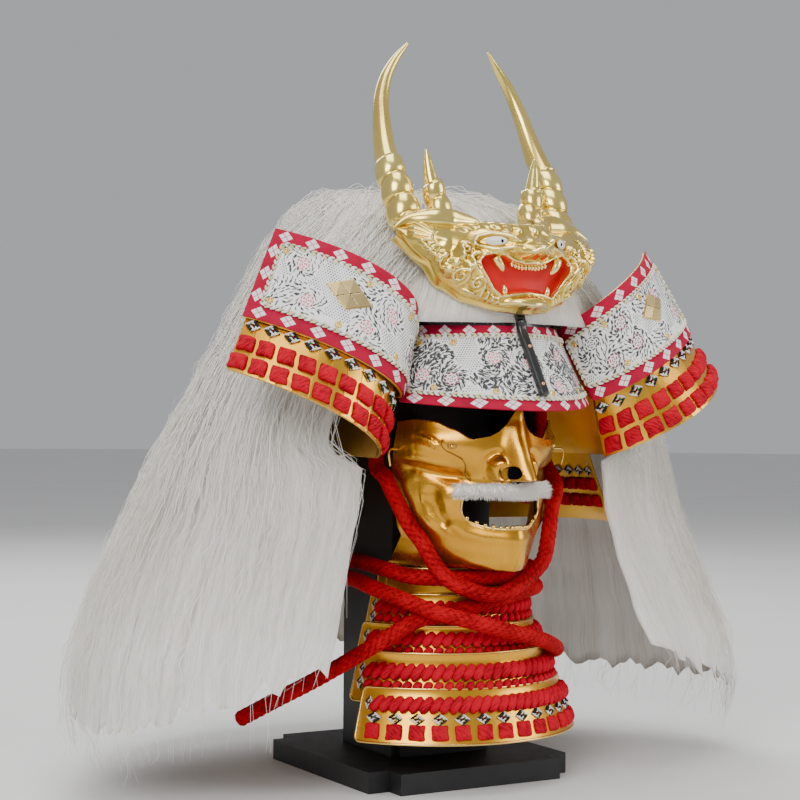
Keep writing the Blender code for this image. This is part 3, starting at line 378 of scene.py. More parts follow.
# cords: routes in metres, from one end to the other
cords = {
    "radius": 0.00695, "strands": 6, "pitch": 0.0066, "relief": 0.0013, "sides": 20, "step": 0.0016,
    "chin": (
        (-0.079, -0.027, 0.369), (-0.08, -0.025, 0.34), (-0.083, -0.02, 0.307), (-0.084, -0.021, 0.274),
        (-0.084, -0.037, 0.264), (-0.078, -0.04, 0.25), (-0.068, -0.05, 0.224), (-0.061, -0.058, 0.211),
        (-0.05, -0.064, 0.19), (-0.0395, -0.0735, 0.177), (-0.019, -0.082, 0.168), (0.0, -0.084, 0.166),
        (0.018, -0.082, 0.172), (0.036, -0.075, 0.179), (0.053, -0.071, 0.192), (0.061, -0.067, 0.211),
        (0.065, -0.066, 0.235), (0.082, -0.048, 0.255), (0.087, -0.024, 0.275), (0.084, -0.02, 0.307),
        (0.08, -0.025, 0.34), (0.079, -0.027, 0.369),
    ),
    "neck": (
        (-0.182, 0.042, 0.056), (-0.16, 0.012, 0.076), (-0.136, -0.014, 0.095), (-0.108, -0.038, 0.117),
        (-0.08, -0.057, 0.138), (-0.062, -0.059, 0.146), (-0.043, -0.062, 0.149), (-0.019, -0.071, 0.156),
        (0.012, -0.071, 0.162), (0.042, -0.061, 0.166), (0.068, -0.038, 0.167), (0.08, -0.004, 0.166),
        (0.077, 0.04, 0.168), (0.071, 0.084, 0.169), (0.06, 0.107, 0.171), (0.04, 0.114, 0.173),
        (0.0, 0.113, 0.177), (-0.04, 0.114, 0.181), (-0.062, 0.104, 0.184), (-0.074, 0.064, 0.187),
        (-0.078, 0.022, 0.189), (-0.073, -0.018, 0.185), (-0.06, -0.04, 0.18), (-0.037, -0.058, 0.179),
        (-0.012, -0.067, 0.179), (0.016, -0.0665, 0.178), (0.045, -0.053, 0.178), (0.066, -0.036, 0.181),
        (0.079, -0.006, 0.182), (0.086, 0.032, 0.181), (0.085, 0.074, 0.179), (0.076, 0.108, 0.177),
        (0.052, 0.128, 0.176), (0.018, 0.129, 0.175), (-0.02, 0.129, 0.173), (-0.052, 0.127, 0.171),
        (-0.078, 0.108, 0.17), (-0.092, 0.072, 0.171), (-0.095, 0.034, 0.174), (-0.093, 0.004, 0.176),
        (-0.088, -0.026, 0.17), (-0.076, -0.051, 0.163), (-0.059, -0.072, 0.154), (-0.036, -0.085, 0.147),
        (-0.01, -0.09, 0.14), (0.02, -0.089, 0.132), (0.051, -0.075, 0.124), (0.078, -0.053, 0.115),
        (0.098, -0.026, 0.108), (0.105, 0.006, 0.103), (0.098, 0.04, 0.101), (0.085, 0.066, 0.101),
    ),
}


def braidHeight(size, angle, along):
    # two families of strands that pass over and under each other, from 0 between them to 1 on top
    a = angle / (2 * math.pi) * size["strands"] + along / size["pitch"]
    b = angle / (2 * math.pi) * size["strands"] - along / size["pitch"]
    over = (np.floor(a) + np.floor(b)) % 2 == 0
    first, second = a % 1 - 0.5, b % 1 - 0.5
    across = np.where(over, first, second)
    run = np.where(over, second, first)
    return np.sqrt(np.maximum(0, 1 - (across * 1.9) ** 2)) * (1 - 0.8 * run**2)


def makeCord(name, route, size, node):
    path, length = smoothPath(route, size["step"])
    sides = size["sides"]
    along = np.linspace(0, length, len(path))[:, None]
    angle = roundTurn(sides)[None]
    height = braidHeight(size, angle, along)
    radii = size["radius"] - size["relief"] * (1 - height)
    ends = np.minimum(along, length - along) / 0.004
    radii *= np.clip(1 - (1 - np.clip(ends, 0, 1)) ** 2, 0, 1) ** 0.5 * 0.75 + 0.25
    points, faces = sweep(path, radii, sides)
    twist = np.broadcast_to(angle * size["radius"] * 3, (len(path), sides))
    # the third lay value, the braid's height, drives the painted shade between the strands
    fibres = np.stack([along + twist, twist - along * 0.6, height], -1)
    piece = addPiece(name, points, faces, redCord, "red_silk", (node,), fibres)
    print(name, "length", round(length, 4))


makeCord("chinCord", cords["chin"], cords, "chin_cord")
makeCord("neckCord", cords["neck"][::-1], cords, "neck_cord")
print("cords laid")

# floor and lights
studio = {
    "floor": (0.8, 0.79, 0.77), "backdrop": (0.56, 0.57, 0.6), "glow": 0.75, "radius": 14,
    "lamps": (
        # place, look at, size, power
        ((-1.9, -1.7, 1.9), (0, 0, 0.33), 1.5, 56),
        ((1.9, -1.5, 1.1), (0, 0, 0.3), 1.4, 25),
        ((0.3, 2.0, 2.0), (0, 0, 0.35), 1.6, 40),
        ((-0.2, -0.4, 2.6), (0, 0, 0.3), 1.4, 25),
    ),
}


def makeStudio(size):
    world = bpy.data.worlds.new("studio")
    world.use_nodes = True
    sky = world.node_tree.nodes["Background"]
    sky.inputs[0].default_value = (*size["backdrop"], 1)
    sky.inputs[1].default_value = size["glow"]
    bpy.context.scene.world = world
    for number, (place, look, width, power) in enumerate(size["lamps"]):
        data = bpy.data.lights.new(f"lamp{number}", "AREA")
        data.shape = "SQUARE"
        data.size = width
        data.energy = power
        lamp = bpy.data.objects.new(f"lamp{number}", data)
        lamp.location = place
        lamp.rotation_euler = (Vector(look) - Vector(place)).to_track_quat("-Z", "Y").to_euler()
        bpy.context.scene.collection.objects.link(lamp)
    finish, tree, shader, place = newFinish("paleFloor", 0.75)
    spots = addNoise(tree, place, 3.0, 6.0)
    low, high = [tuple(c * k for c in size["floor"]) for k in (0.96, 1.0)]
    colourFrom(tree, shader, spots, [(0.3, low), (0.7, high)])
    angle = roundTurn(64)
    rim = vector3(np.cos(angle) * size["radius"], np.sin(angle) * size["radius"], 0)
    mesh = bpy.data.meshes.new("floor")
    mesh.from_pydata(rim.tolist(), [], [list(range(64))])
    mesh.materials.append(finish)
    floor = bpy.data.objects.new("floor", mesh)
    bpy.context.scene.collection.objects.link(floor)


makeStudio(studio)
print("studio ready")

# laying small pieces on a curved sheet
def makeLayout(sheet, start, end, count=500):
    u = np.linspace(start, end, count)
    half = np.full(count, 0.5)
    middle = sheet(u, half)
    along = runLength(middle)
    tall = np.linalg.norm(sheet(u, half * 2) - sheet(u, half * 0), axis=1)
    return {"sheet": sheet, "u": u, "along": along, "tall": tall, "length": along[-1]}


def tallAt(layout, s):
    # the sheet's height at s metres along it
    return np.interp(np.interp(s, layout["along"], layout["u"]), layout["u"], layout["tall"])


def layOn(layout, s, t, lift, side=1):
    # s metres along the sheet, t metres down from its top edge, lift metres out of it
    s, t, lift = np.broadcast_arrays(asArray(s), asArray(t), asArray(lift))
    u = np.interp(s, layout["along"], layout["u"])
    past = np.where(s < 0, s, np.where(s > layout["length"], s - layout["length"], 0))
    u = u + past / layout["length"] * (layout["u"][-1] - layout["u"][0])
    tall = np.interp(u, layout["u"], layout["tall"])
    v = t / tall
    place = layout["sheet"](u, v) + frontNormal(layout["sheet"], u, v) * lift[..., None]
    return place * asArray([side, 1, 1])


def manyTubes(paths, radii, sides, up, turn=0.0, flat=1.0):
    # tubes along many paths at once: paths is tube x station x 3
    along = unit(np.gradient(paths, axis=1))
    across = unit(np.cross(along, up))
    up = np.cross(across, along)
    angle = roundTurn(sides) + turn
    rings = (
        paths[:, :, None] + across[:, :, None] * (np.cos(angle) * radii[..., None])[..., None]
        + up[:, :, None] * (np.sin(angle) * flat * radii[..., None])[..., None]
    )
    count, stations = paths.shape[:2]
    one = gridFaces(stations, sides, wrapColumns=True)
    starts = np.arange(count)[:, None, None] * stations * sides
    faces = (one[None] + starts).reshape(-1, 4).tolist()
    firstCap = list(range(sides))
    lastCap = [(stations - 1) * sides + k for k in range(sides)][::-1]
    for k in range(count):
        faces.append([i + k * stations * sides for i in firstCap])
        faces.append([i + k * stations * sides for i in lastCap])
    return rings.reshape(-1, 3), faces


def mirrored(faces, side):
    return [face[::-1] for face in faces] if side < 0 else faces


def prisms(layout, shapes, low, high, side=1):
    # flat shapes in metres along and down the sheet, raised a little: printed ink or cut cloth
    flat = np.concatenate(shapes)
    below, above = [layOn(layout, flat[:, 0], flat[:, 1], lift, side) for lift in (low, high)]
    faces, start, total = [], 0, len(flat)
    for shape in shapes:
        count = len(shape)
        top = [total + start + k for k in range(count)]
        faces.append(top)
        faces.append([start + k for k in range(count)][::-1])
        for k in range(count):
            nextK = (k + 1) % count
            faces.append([start + k, start + nextK, total + start + nextK, total + start + k])
        start += count
    return np.concatenate([below, above]), mirrored(faces, side)


def addPads(name, layout, centres, halfWide, halfTall, height, base, nodeNames, side=1, cells=13):
    # puffy braided pads laid on the sheet: lobed corners, slack sides, and strands running aslant
    x, y = np.meshgrid(np.linspace(-1, 1, cells + 1), np.linspace(-1, 1, cells + 1), indexing="ij")
    x, y = np.sin(x * math.pi / 2) * 0.35 + x * 0.65, np.sin(y * math.pi / 2) * 0.35 + y * 0.65
    dome = np.maximum((1 - np.abs(x) ** 2.6) * (1 - np.abs(y) ** 2.6), 0) ** 0.5
    corner = 0.15 * np.abs(x * y) ** 5
    ridge = 0.15 * np.abs(np.sin((x * 0.8 - y * 0.9) * math.pi * 2.5)) * (1 - 0.5 * np.abs(x * y))
    lobes = 0.16 * np.exp(-(((np.abs(x) - 0.66) ** 2 + (np.abs(y) - 0.66) ** 2) / 0.045))
    rise = dome * (0.8 + ridge + lobes) * height
    centres = asArray(centres)
    draws = np.random.default_rng(len(centres) + round(halfWide * 1e5))
    own = draws.uniform(-0.05, 0.05, (4, len(centres), 1, 1))
    wide = x * (0.91 + 0.09 * y**2 - corner) * (1 + own[0]) + 0.04 * np.sin(y * 3 + own[2] * 60)
    tall = y * (0.91 + 0.09 * x**2 - corner) * (1 + own[1]) + 0.04 * np.sin(x * 3 + own[3] * 60)
    s = centres[:, 0, None, None] + wide * halfWide
    t = centres[:, 1, None, None] + tall * halfTall
    points = layOn(layout, s, t, base + rise[None] + 0 * s, side)
    one = gridFaces(cells + 1, cells + 1)
    count = (cells + 1) ** 2
    faces = (one[None] + np.arange(len(centres))[:, None, None] * count).reshape(-1, 4).tolist()
    rim = [pair[0] for pair in rimPairs(cells + 1, cells + 1)]
    for k in range(len(centres)):
        faces.append([i + k * count for i in rim])
    lay = np.stack([s * 0.66 + t * 0.75, t * 0.66 - s * 0.75, rise[None] + 0 * s], -1)
    addPiece(name, points, mirrored(faces, -side), redBraid, "red_silk", nodeNames, lay)


def addStitches(prefix, layout, centres, wide, tall, base, side=1):
    # black and white threads woven into a small lozenge, with a red and a green one at the middle
    made = {"black": [], "white": [], "red": [], "green": []}
    t = np.linspace(-1, 1, 8)
    for number, offset in enumerate((-0.78, -0.27, 0.27, 0.78)):
        for way in (1, -1):
            across = np.full(8, offset)
            a, b = (t * 0.96, across) if way > 0 else (across, t * 0.96)
            over = np.cos(math.pi * ((t * 0.96 + 0.78) / 0.515 + number)) * way
            colour = ("white", "black")[(number in (1, 2)) == (way > 0)]
            made[colour].append(((a + b) / 2, (a - b) / 2, over))
    made["red"].append((t * 0.17 - 0.05, t * 0.1, 2.6 + 0 * t))
    made["green"].append((t * 0.1 + 0.22, -t * 0.1, 2.2 + 0 * t))
    centres = asArray(centres)
    for colour, lines in made.items():
        paths, ups = [], []
        for x, y, over in lines:
            s = centres[:, 0, None] + x[None] * wide
            d = centres[:, 1, None] + y[None] * tall
            lift = base + (0.0003 + 0.0009 * np.cos(t * math.pi / 2) ** 0.5 + 0.00042 * over)[None] + 0 * s
            paths.append(layOn(layout, s, d, lift, side))
            ups.append(layOn(layout, s, d, lift + 0.001, side) - paths[-1])
        paths, ups = np.concatenate(paths), np.concatenate(ups)
        radii = np.broadcast_to(0.092 * wide * np.sqrt(np.maximum(0.16, 1 - t**4)), paths.shape[:2])
        points, faces = manyTubes(paths, radii, 5, ups)
        addPiece(
            prefix + colour.capitalize(), points, mirrored(faces, side), stitchThreads[colour], "red_silk",
        )


def plaitedCord(path, normals, radius, pitch, closed=True):
    # a flat edge cord whose strands meet in a row of arrowheads over a core whose dark olive colour is
    # painted shade between the strands
    path, normals = asArray(path), asArray(normals)
    if closed:
        path, normals = np.vstack([path, path[:1]]), np.vstack([normals, normals[:1]])
    along = runLength(path)
    forward = np.gradient(path, axis=0)
    count = round(along[-1] / pitch)
    t = np.linspace(-1, 1, 6)
    found = {0: [], 1: [], 2: []}

    def readAt(s, values):
        return np.stack([np.interp(s, along, values[:, k]) for k in range(3)], -1)

    for row in (-1, 1):
        s = (np.arange(count)[:, None] + 0.5) * along[-1] / count + t[None] * pitch * 0.5
        s = np.mod(s, along[-1]) if closed else np.clip(s, 0, along[-1])
        up = unit(readAt(s, normals))
        across = unit(np.cross(readAt(s, forward), up))
        aside, high = radius * row * (0.52 - 0.46 * t), radius * (0.42 + 0.3 * np.cos(t * 1.3))
        paths = readAt(s, path) + across * aside[None, :, None] + up * high[None, :, None]
        radii = np.broadcast_to(pitch * 0.21 * np.sqrt(1.05 - t**2), s.shape)
        for number in (0, 1):
            found[number * 2].append(manyTubes(paths[number::2], radii[number::2], 5, up[number::2]))
    core, coreUp = [readAt(np.arange(0, along[-1], pitch / 2), values) for values in (path, normals)]
    found[1].append(sweep(core, np.full(len(core), radius * 0.62), 6, reference=unit(coreUp)))
    return [joined(parts) for parts in found.values()]


def stud(place, normal, radius, petals=8):
    # a little chased boss: a domed middle in a ring of petals
    rings, sides = 9, petals * 4
    angle = roundTurn(sides)
    share = np.linspace(0, 1, rings)[1:]
    normal = unit(asArray(normal))
    side = unit(np.cross(normal, [0.31, 0.2, 0.93]))
    other = np.cross(normal, side)
    middle = np.exp(-((share / 0.33) ** 2)) * 0.55
    lobe = np.abs(np.cos(angle * petals / 2))
    petal = np.exp(-(((share - 0.66) / 0.26) ** 2))[:, None] * (0.55 + 0.25 * lobe)[None]
    height = (middle[:, None] + petal) * radius * 0.55 * (1 - share**8)[:, None]
    out = share[:, None] * radius * (1 - 0.09 * (share[:, None] ** 4) * (1 - lobe)[None])
    points = place + side * (np.cos(angle) * out)[..., None] + other * (np.sin(angle) * out)[..., None]
    points = points + normal * height[..., None]
    points = np.concatenate([(place + normal * radius * 0.33)[None], points.reshape(-1, 3)])
    faces = [[0, 1 + k, 1 + (k + 1) % sides] for k in range(sides)]
    faces += gridFaces(rings - 1, sides, start=1, wrapColumns=True).tolist()
    faces.append([1 + (rings - 2) * sides + k for k in range(sides)][::-1])
    return points, faces


# printed leather: dots, leaf strokes and rosettes
def leafStroke(x, y, angle, length, width, bend):
    t = np.linspace(-1, 1, 5)
    half = width / 2 * np.sqrt(np.maximum(0, 1 - t**2)) * (1 - 0.25 * t)
    spine = np.stack([t * length / 2, bend * (1 - t**2)], 1)
    ring = np.concatenate([spine + np.stack([0 * t, half], 1), (spine - np.stack([0 * t, half], 1))[-2:0:-1]])
    turn = asArray([[math.cos(angle), math.sin(angle)], [-math.sin(angle), math.cos(angle)]])
    return ring @ turn + [x, y]


def dashRing(x, y, radius, count, width, share, start=0.0):
    made = []
    for k in range(count):
        a = start + 2 * math.pi * (k + np.linspace(-share / 2, share / 2, 5)) / count
        outer = np.stack([np.cos(a), np.sin(a)], 1) * (radius + width / 2)
        inner = np.stack([np.cos(a), np.sin(a)], 1)[::-1] * (radius - width / 2)
        made.append(np.concatenate([outer, inner]) + [x, y])
    return made


def inOrder(shape):
    # the same turning sense for every shape
    x, y = shape[:, 0], shape[:, 1]
    area = (x * np.roll(y, -1) - y * np.roll(x, -1)).sum()
    return shape if area < 0 else shape[::-1]


petalRings = (
    # radius, dashes, their width, filled share, turn
    (0.0051, 9, 0.00105, 0.68, 0), (0.003, 5, 0.00095, 0.56, 0.4), (0.0012, 3, 0.00095, 0.55, 0.9),
)


def leafPrint(layout, inset, rosettes, seed, dotPitch=0.0023, leafPitch=0.0033):
    # shapes of the print in metres on the sheet, as {ink: shapes}
    draws = np.random.default_rng(seed)
    length = layout["length"]
    centres = asArray([(length * a, tallAt(layout, length * a) * b) for a, b, _ in rosettes])
    made = {"black": [], "pink": [], "crimson": []}
    for (x, y), (_, _, ink) in zip(centres, rosettes):
        turn = draws.uniform(0, 1)
        for radius, count, width, share, ahead in petalRings:
            made[ink] += dashRing(x, y, radius, count, width, share, turn + ahead)
        if ink == "crimson":
            made["black"] += dashRing(x, y, 0.006, 10, 0.0007, 0.8, turn + 0.3)
    phase = draws.uniform(0, 6.28, 4)
    placed = []
    for _ in range(9000):
        s, share = draws.uniform(inset[0], length - inset[1]), draws.uniform(0, 1)
        t = inset[2] + share * (float(tallAt(layout, s)) - inset[2] - inset[3])
        away = np.hypot(centres[:, 0] - s, centres[:, 1] - t)
        near = int(away.argmin())
        drift = np.sin(s * 95 + phase[0]) + np.sin(s * 60 - t * 130 + phase[1])
        drift = drift + 0.8 * np.sin(t * 170 + s * 40 + phase[2])
        if away[near] < 0.0069 or (away[near] > 0.0125 and drift < 0.1):
            continue
        if placed and min(np.hypot(p[0] - s, (p[1] - t) * 1.25) for p in placed[-260:]) < leafPitch:
            continue
        placed.append((s, t, near, away[near]))
    for s, t, near, away in placed:
        outward = math.atan2(t - centres[near, 1], s - centres[near, 0])
        flow = outward + 1.15 - 18 * away + 0.5 * math.sin(s * 210) + 0.35 * math.sin(t * 260 + 1.2)
        long = draws.uniform(0.0038, 0.0056)
        full = draws.uniform(0, 1) < 0.3
        wide = draws.uniform(0.0015, 0.0021) if full else draws.uniform(0.0007, 0.0011)
        if full:
            flow, long = flow + 0.5 * math.sin(s * 900), long * 0.85
        made["black"].append(leafStroke(s, t, flow, long, wide, draws.uniform(-0.0011, 0.0011)))
    taken = asArray([(s, t) for s, t, _, _ in placed])
    a = np.arange(4) * math.pi / 2
    for row, t in enumerate(np.arange(inset[2], 0.062, dotPitch * 0.87), start=1):
        for s in np.arange(inset[0] + (row % 2) * dotPitch / 2, length - inset[1], dotPitch):
            if t > tallAt(layout, s) - inset[3]:
                continue
            if np.hypot(taken[:, 0] - s, taken[:, 1] - t).min() < 0.003:
                continue
            if np.hypot(centres[:, 0] - s, centres[:, 1] - t).min() < 0.0068:
                continue
            size = 0.0006 + 0.00012 * math.sin(s * 300 + t * 200)
            made["black"].append(np.stack([s + np.cos(a) * size, t + np.sin(a) * size], 1))
    return {ink: [inOrder(shape) for shape in shapes] for ink, shapes in made.items()}


def fourLozenge(x, y, wide, tall, gap=0.13):
    # a lozenge cut into four, the old family pattern of the borders
    made = []
    for a, b in ((0, -0.5), (0.5, 0), (0, 0.5), (-0.5, 0)):
        w, h = wide / 4 * (1 - gap), tall / 4 * (1 - gap)
        cx, cy = x + a * wide / 2, y + b * tall / 2
        made.append(inOrder(asArray([(cx + w, cy), (cx, cy - h), (cx - w, cy), (cx, cy + h)])))
    return made


def clothFinish(name, light, dark, weave):
    # plain woven cloth: crossing threads, slightly uneven dye
    finish, tree, shader, place = newFinish(
        name, 0.78, Sheen_Weight=0.08, Sheen_Roughness=0.5, Specular_IOR_Level=0.2,
    )
    shader.inputs["Sheen Tint"].default_value = (*light, 1)
    threads = addNode(tree, "TexVoronoi", place, None, weave, out=0, feature="F1")
    cloudy = addNoise(tree, place, 70.0, 5.0)
    shade = addMath(tree, "MULTIPLY_ADD", threads, 0.35, addMath(tree, "MULTIPLY", cloudy, 0.9))
    colourFrom(tree, shader, shade, [(0.3, dark), (0.68, light)])
    addBump(tree, shader, threads, 0.35, 0.0004)
    return finish


def leatherFinish(name, light, dark):
    # smoked white deerskin: fine pores and a faint cloudy tone
    finish, tree, shader, place = newFinish(name, 0.62, Specular_IOR_Level=0.35)
    pores = addNode(tree, "TexVoronoi", place, None, 900.0, out=0, feature="F1")
    cloudy = addNoise(tree, place, 38.0, 6.0, 0.6)
    colourFrom(tree, shader, cloudy, [(0.32, dark), (0.64, light)])
    tree.links.new(addMath(tree, "MULTIPLY_ADD", cloudy, 0.2, 0.5), shader.inputs["Roughness"])
    addBump(tree, shader, pores, 0.3, 0.0003)
    return finish


def inkFinish(name, light, dark, roughness=0.6):
    finish, tree, shader, place = newFinish(name, roughness)
    worn = addNoise(tree, place, 420.0, 4.0, 0.7)
    colourFrom(tree, shader, worn, [(0.34, dark), (0.7, light)])
    addBump(tree, shader, worn, 0.2, 0.0002)
    return finish


crimsonCloth = clothFinish("crimsonCloth", (0.46, 0.004, 0.04), (0.33, 0.002, 0.026), 1500.0)
printedLeather = leatherFinish("printedLeather", (0.97, 0.96, 0.95), (0.88, 0.87, 0.85))
inks = {
    "black": inkFinish("blackInk", (0.07, 0.068, 0.07), (0.02, 0.02, 0.022)),
    "pink": inkFinish("pinkInk", (0.82, 0.055, 0.16), (0.66, 0.03, 0.09)),
    "crimson": inkFinish("crimsonInk", (0.42, 0.04, 0.1), (0.22, 0.02, 0.05)),
    "white": inkFinish("whiteInk", (0.96, 0.9, 0.91), (0.86, 0.74, 0.77)),
}

# helmet bowl and visor
bowl = {"halfWidth": 0.088, "halfLength": 0.114, "centreY": 0.01, "rimZ": 0.391, "rise": 0.112}
visor = {
    "drop": 0.07, "reach": 0.045, "halfWidth": 0.091, "endAngle": math.radians(51.0), "endBack": 0.065,
    "border": 0.0105, "lift": 0.0004, "plate": 0.002, "curl": 0.006, "pitch": 0.0232, "motif": (0.014, 0.011),
    "rosettes": (
        (0.19, 0.66, "crimson"), (0.36, 0.4, "pink"), (0.5, 0.46, "pink"), (0.62, 0.73, "pink"),
        (0.7, 0.36, "pink"), (0.84, 0.66, "pink"), (0.08, 0.62, "pink"), (0.92, 0.4, "pink"),
    ),
    "studs": ((0.12, 1), (0.34, 1), (0.56, 1), (0.78, 1), (0.2, 0), (0.5, 0), (0.8, 0), (0.95, 1), (0.05, 0)),
    "clothLift": -0.001,
}
band = {
    "cloth": 0.0011, "leather": 0.0009, "columns": 84, "rows": 12, "corner": 0.004, "cord": 0.0019,
    "cordPitch": 0.0049, "stud": 0.0032, "studInset": 0.0055,
}


def visorSheet(u, v):
    # front of the visor: u from the right end to the left one, v from the rim of the bowl down
    u, v = np.broadcast_arrays(asArray(u), asArray(v))
    reach = np.abs(u)
    gap = visor["lift"] + visor["plate"]
    top = ovalPoint(
        bowl["halfWidth"] + gap, bowl["halfLength"] + gap, bowl["centreY"], visor["endAngle"] * reach,
        bowl["rimZ"]
    )
    frontY, lowZ = bowl["centreY"] - bowl["halfLength"] - visor["reach"], bowl["rimZ"] - visor["drop"]
    wide, back = visor["halfWidth"], visor["endBack"]
    low = bezierPoint((
        (0, frontY - visor["plate"], lowZ), (wide * 0.37, frontY - visor["plate"], lowZ),
        (wide * 0.73, frontY + back * 0.51, lowZ), (wide, frontY + back, lowZ),
    ), reach)
    place = top + (low - top) * v[..., None]
    place[..., 2] += visor["curl"] * reach**2 * v**2
    place[..., 0] *= np.where(u < 0, -1, 1)
    return place


def makePrintedBand(layout, size, side, insetEnds, nodeNames, prefix, motifSides, seed):
    # a crimson border, white leather inside it, its print, the edge cord and the studs
    border, length = size["border"], layout["length"]
    lift = size["clothLift"]
    skin = lift + 0.0019
    faces = mirrored(gridFaces(band["columns"], band["rows"], flip=True).tolist(), side)

    def addSkin(label, ends, edge, height, finish, slot, nodes, wall, softness):
        s = np.linspace(ends[0], length - ends[1], band["columns"])[:, None] + np.zeros((1, band["rows"]))
        t = edge + (tallAt(layout, s) - edge * 2) * np.linspace(0, 1, band["rows"])[None]
        piece = addPiece(prefix + label, layOn(layout, s, t, height, side), faces, finish, slot, nodes)
        thicken(piece, wall)
        soften(piece, softness)

    def addPrint(label, shapes, low, high, ink, slot):
        addPiece(prefix + label, *prisms(layout, shapes, low, high, side), inks[ink], slot, smooth=False)

    addSkin(
        "Cloth", (0, 0), 0, lift + band["cloth"], crimsonCloth, "crimson_cloth", nodeNames[:1], band["cloth"],
        0.0004,
    )
    addSkin(
        "Leather", insetEnds, border, skin, printedLeather, "printed_leather", nodeNames[1:], band["leather"],
        0.0003,
    )
    inset = (insetEnds[0] + 0.003, insetEnds[1] + 0.003, border + 0.0028, border + 0.0028)
    for ink, shapes in leafPrint(layout, inset, size["rosettes"], seed).items():
        if shapes:
            addPrint(
                ink.capitalize() + "Print", shapes, skin - 0.0002, skin + 0.00012, ink, "printed_leather",
            )
    motifs = []
    (wide, tall), count = size["motif"], round(length / size["pitch"])
    for k in range(count):
        at = (k + 0.5) * length / count
        motifs += fourLozenge(at, border * 0.46, wide, tall)
        motifs += fourLozenge(at, float(tallAt(layout, at)) - border * 0.46, wide, tall)
    for end in motifSides:
        at = border * 0.48 if end < 0 else length - border * 0.48
        for k in (1, 2, 3):
            motifs += fourLozenge(at, float(tallAt(layout, at)) * (k / 4), tall, wide)
    addPrint("Motifs", motifs, lift + 0.001, lift + 0.00125, "white", "crimson_cloth")
    # the edge cord runs round the leather, with rounded corners
    a, b = insetEnds[0], length - insetEnds[1]
    corner = band["corner"]
    turn = np.linspace(0, math.pi / 2, 7)[1:-1]

    def bend(x, y, start):
        return np.stack([x + corner * np.cos(start + turn), y + corner * np.sin(start + turn)], 1)

    def upright(x, first, last):
        return np.stack([np.full(14, x), np.linspace(first, last, 14)], 1)

    row = np.linspace(a + corner, b - corner, 90)
    topRow = np.stack([row, np.full(90, border)], 1)
    lowRow = np.stack([row, tallAt(layout, row) - border], 1)[::-1]
    top = border + corner
    rightLow, leftLow = [float(tallAt(layout, x)) - border - corner for x in (b, a)]
    loop = np.concatenate([
        topRow, bend(b - corner, top, -math.pi / 2), upright(b, top, rightLow), bend(b - corner, rightLow, 0),
        lowRow, bend(a + corner, leftLow, math.pi / 2), upright(a, leftLow, top),
        bend(a + corner, top, math.pi),
    ])
    strands = []
    for run in [loop] if motifSides else [topRow, lowRow]:
        path = layOn(layout, run[:, 0], run[:, 1], skin - 0.0006, side)
        normals = layOn(layout, run[:, 0], run[:, 1], skin + 0.0004, side) - path
        strands.append(plaitedCord(path, normals, band["cord"], band["cordPitch"], closed=bool(motifSides)))
    # the second finish colours the core: its dark olive is painted shade between the strands
    for number, finish in enumerate((goldThread, cordCoreShade, whiteThread)):
        points, faces = joined([made[number] for made in strands])
        addPiece(f"{prefix}EdgeStrand{number}", points, faces, finish, "printed_leather")
    studs = []
    for x, y in size["studs"]:
        at, edge = a + (b - a) * x, border + band["studInset"]
        down = edge if y < 0.5 else float(tallAt(layout, a + (b - a) * x)) - edge
        place, above = [layOn(layout, [at], [down], height, side)[0] for height in (skin, skin + 0.001)]
        studs.append(stud(place, above - place, band["stud"]))
    addPiece(prefix + "Studs", *joined(studs), paleGold, "polished_gold")


visorLayout = makeLayout(visorSheet, -1.06, 1.06)
plateU = np.linspace(-1.06, 1.06, 121)[:, None] + np.zeros((1, 9))
plateV = np.linspace(0, 1, 9)[None] + np.zeros((121, 1))
visorPlate = addPiece(
    "visorPlate", visorSheet(plateU, plateV), gridFaces(121, 9, flip=True).tolist(), crimsonCloth,
    "crimson_cloth", ("visor_plate",)
)
thicken(visorPlate, visor["plate"])
soften(visorPlate, 0.0006)
makePrintedBand(visorLayout, visor, 1, (0.0012, 0.0012), ("visor_leather",), "visor", (), 11)
print("visor dressed")

# neck guard: three lames, the first two turned back into wings
neck = {
    "topZ": 0.388, "drop": 0.055, "flare": 0.0246, "lap": 0.01, "arcEnd": math.radians(66.0),
    "firstShare": 0.46,
    "temple": 0.5, "gap": 0.0016, "secondStep": 0.0054, "thirdStep": 0.0034, "thirdEnd": math.radians(82.0),
    "thirdDip": 0.008, "plate": 0.002, "pitch": 0.0146, "seamStep": 0.0005,
    "edges": {
        # temple x, y, z, spread, back, rise, near forward, far forward, near rise, far rise
        "top": (0.074, -0.06, 0.391, 0.113, 0.025, 0.076, 0.058, 0.045, 0.3, 0.74),
        "leather": (0.097, -0.084, 0.33, 0.128, 0.03, 0.064, 0.034, 0.044, 0.12, 0.66),
        "lame": (0.114, -0.076, 0.281, 0.131, 0.008, 0.071, 0.048, 0.08, 0.15, 0.62),
    },
}
wing = {
    "border": 0.0132, "clothLift": 0.0006, "pitch": 0.0245, "motif": (0.0142, 0.0116), "squares": 10,
    "mon": (0.83, 0.43, 0.0205, 0.014), "innerPitch": 0.0156,
    "studs": ((0.035, 0), (0.97, 0), (0.5, 0), (0.22, 0), (0.965, 1), (0.6, 1), (0.26, 1)),
    "rosettes": {
        -1: (
            (0.8, 0.3, "pink"), (0.73, 0.66, "pink"), (0.33, 0.4, "pink"), (0.44, 0.66, "pink"),
            (0.12, 0.55, "crimson"),
        ),
        1: (
            (0.3, 0.33, "crimson"), (0.35, 0.62, "crimson"), (0.13, 0.36, "black"), (0.2, 0.66, "crimson"),
            (0.62, 0.33, "pink"), (0.8, 0.66, "pink"),
        ),
    },
}


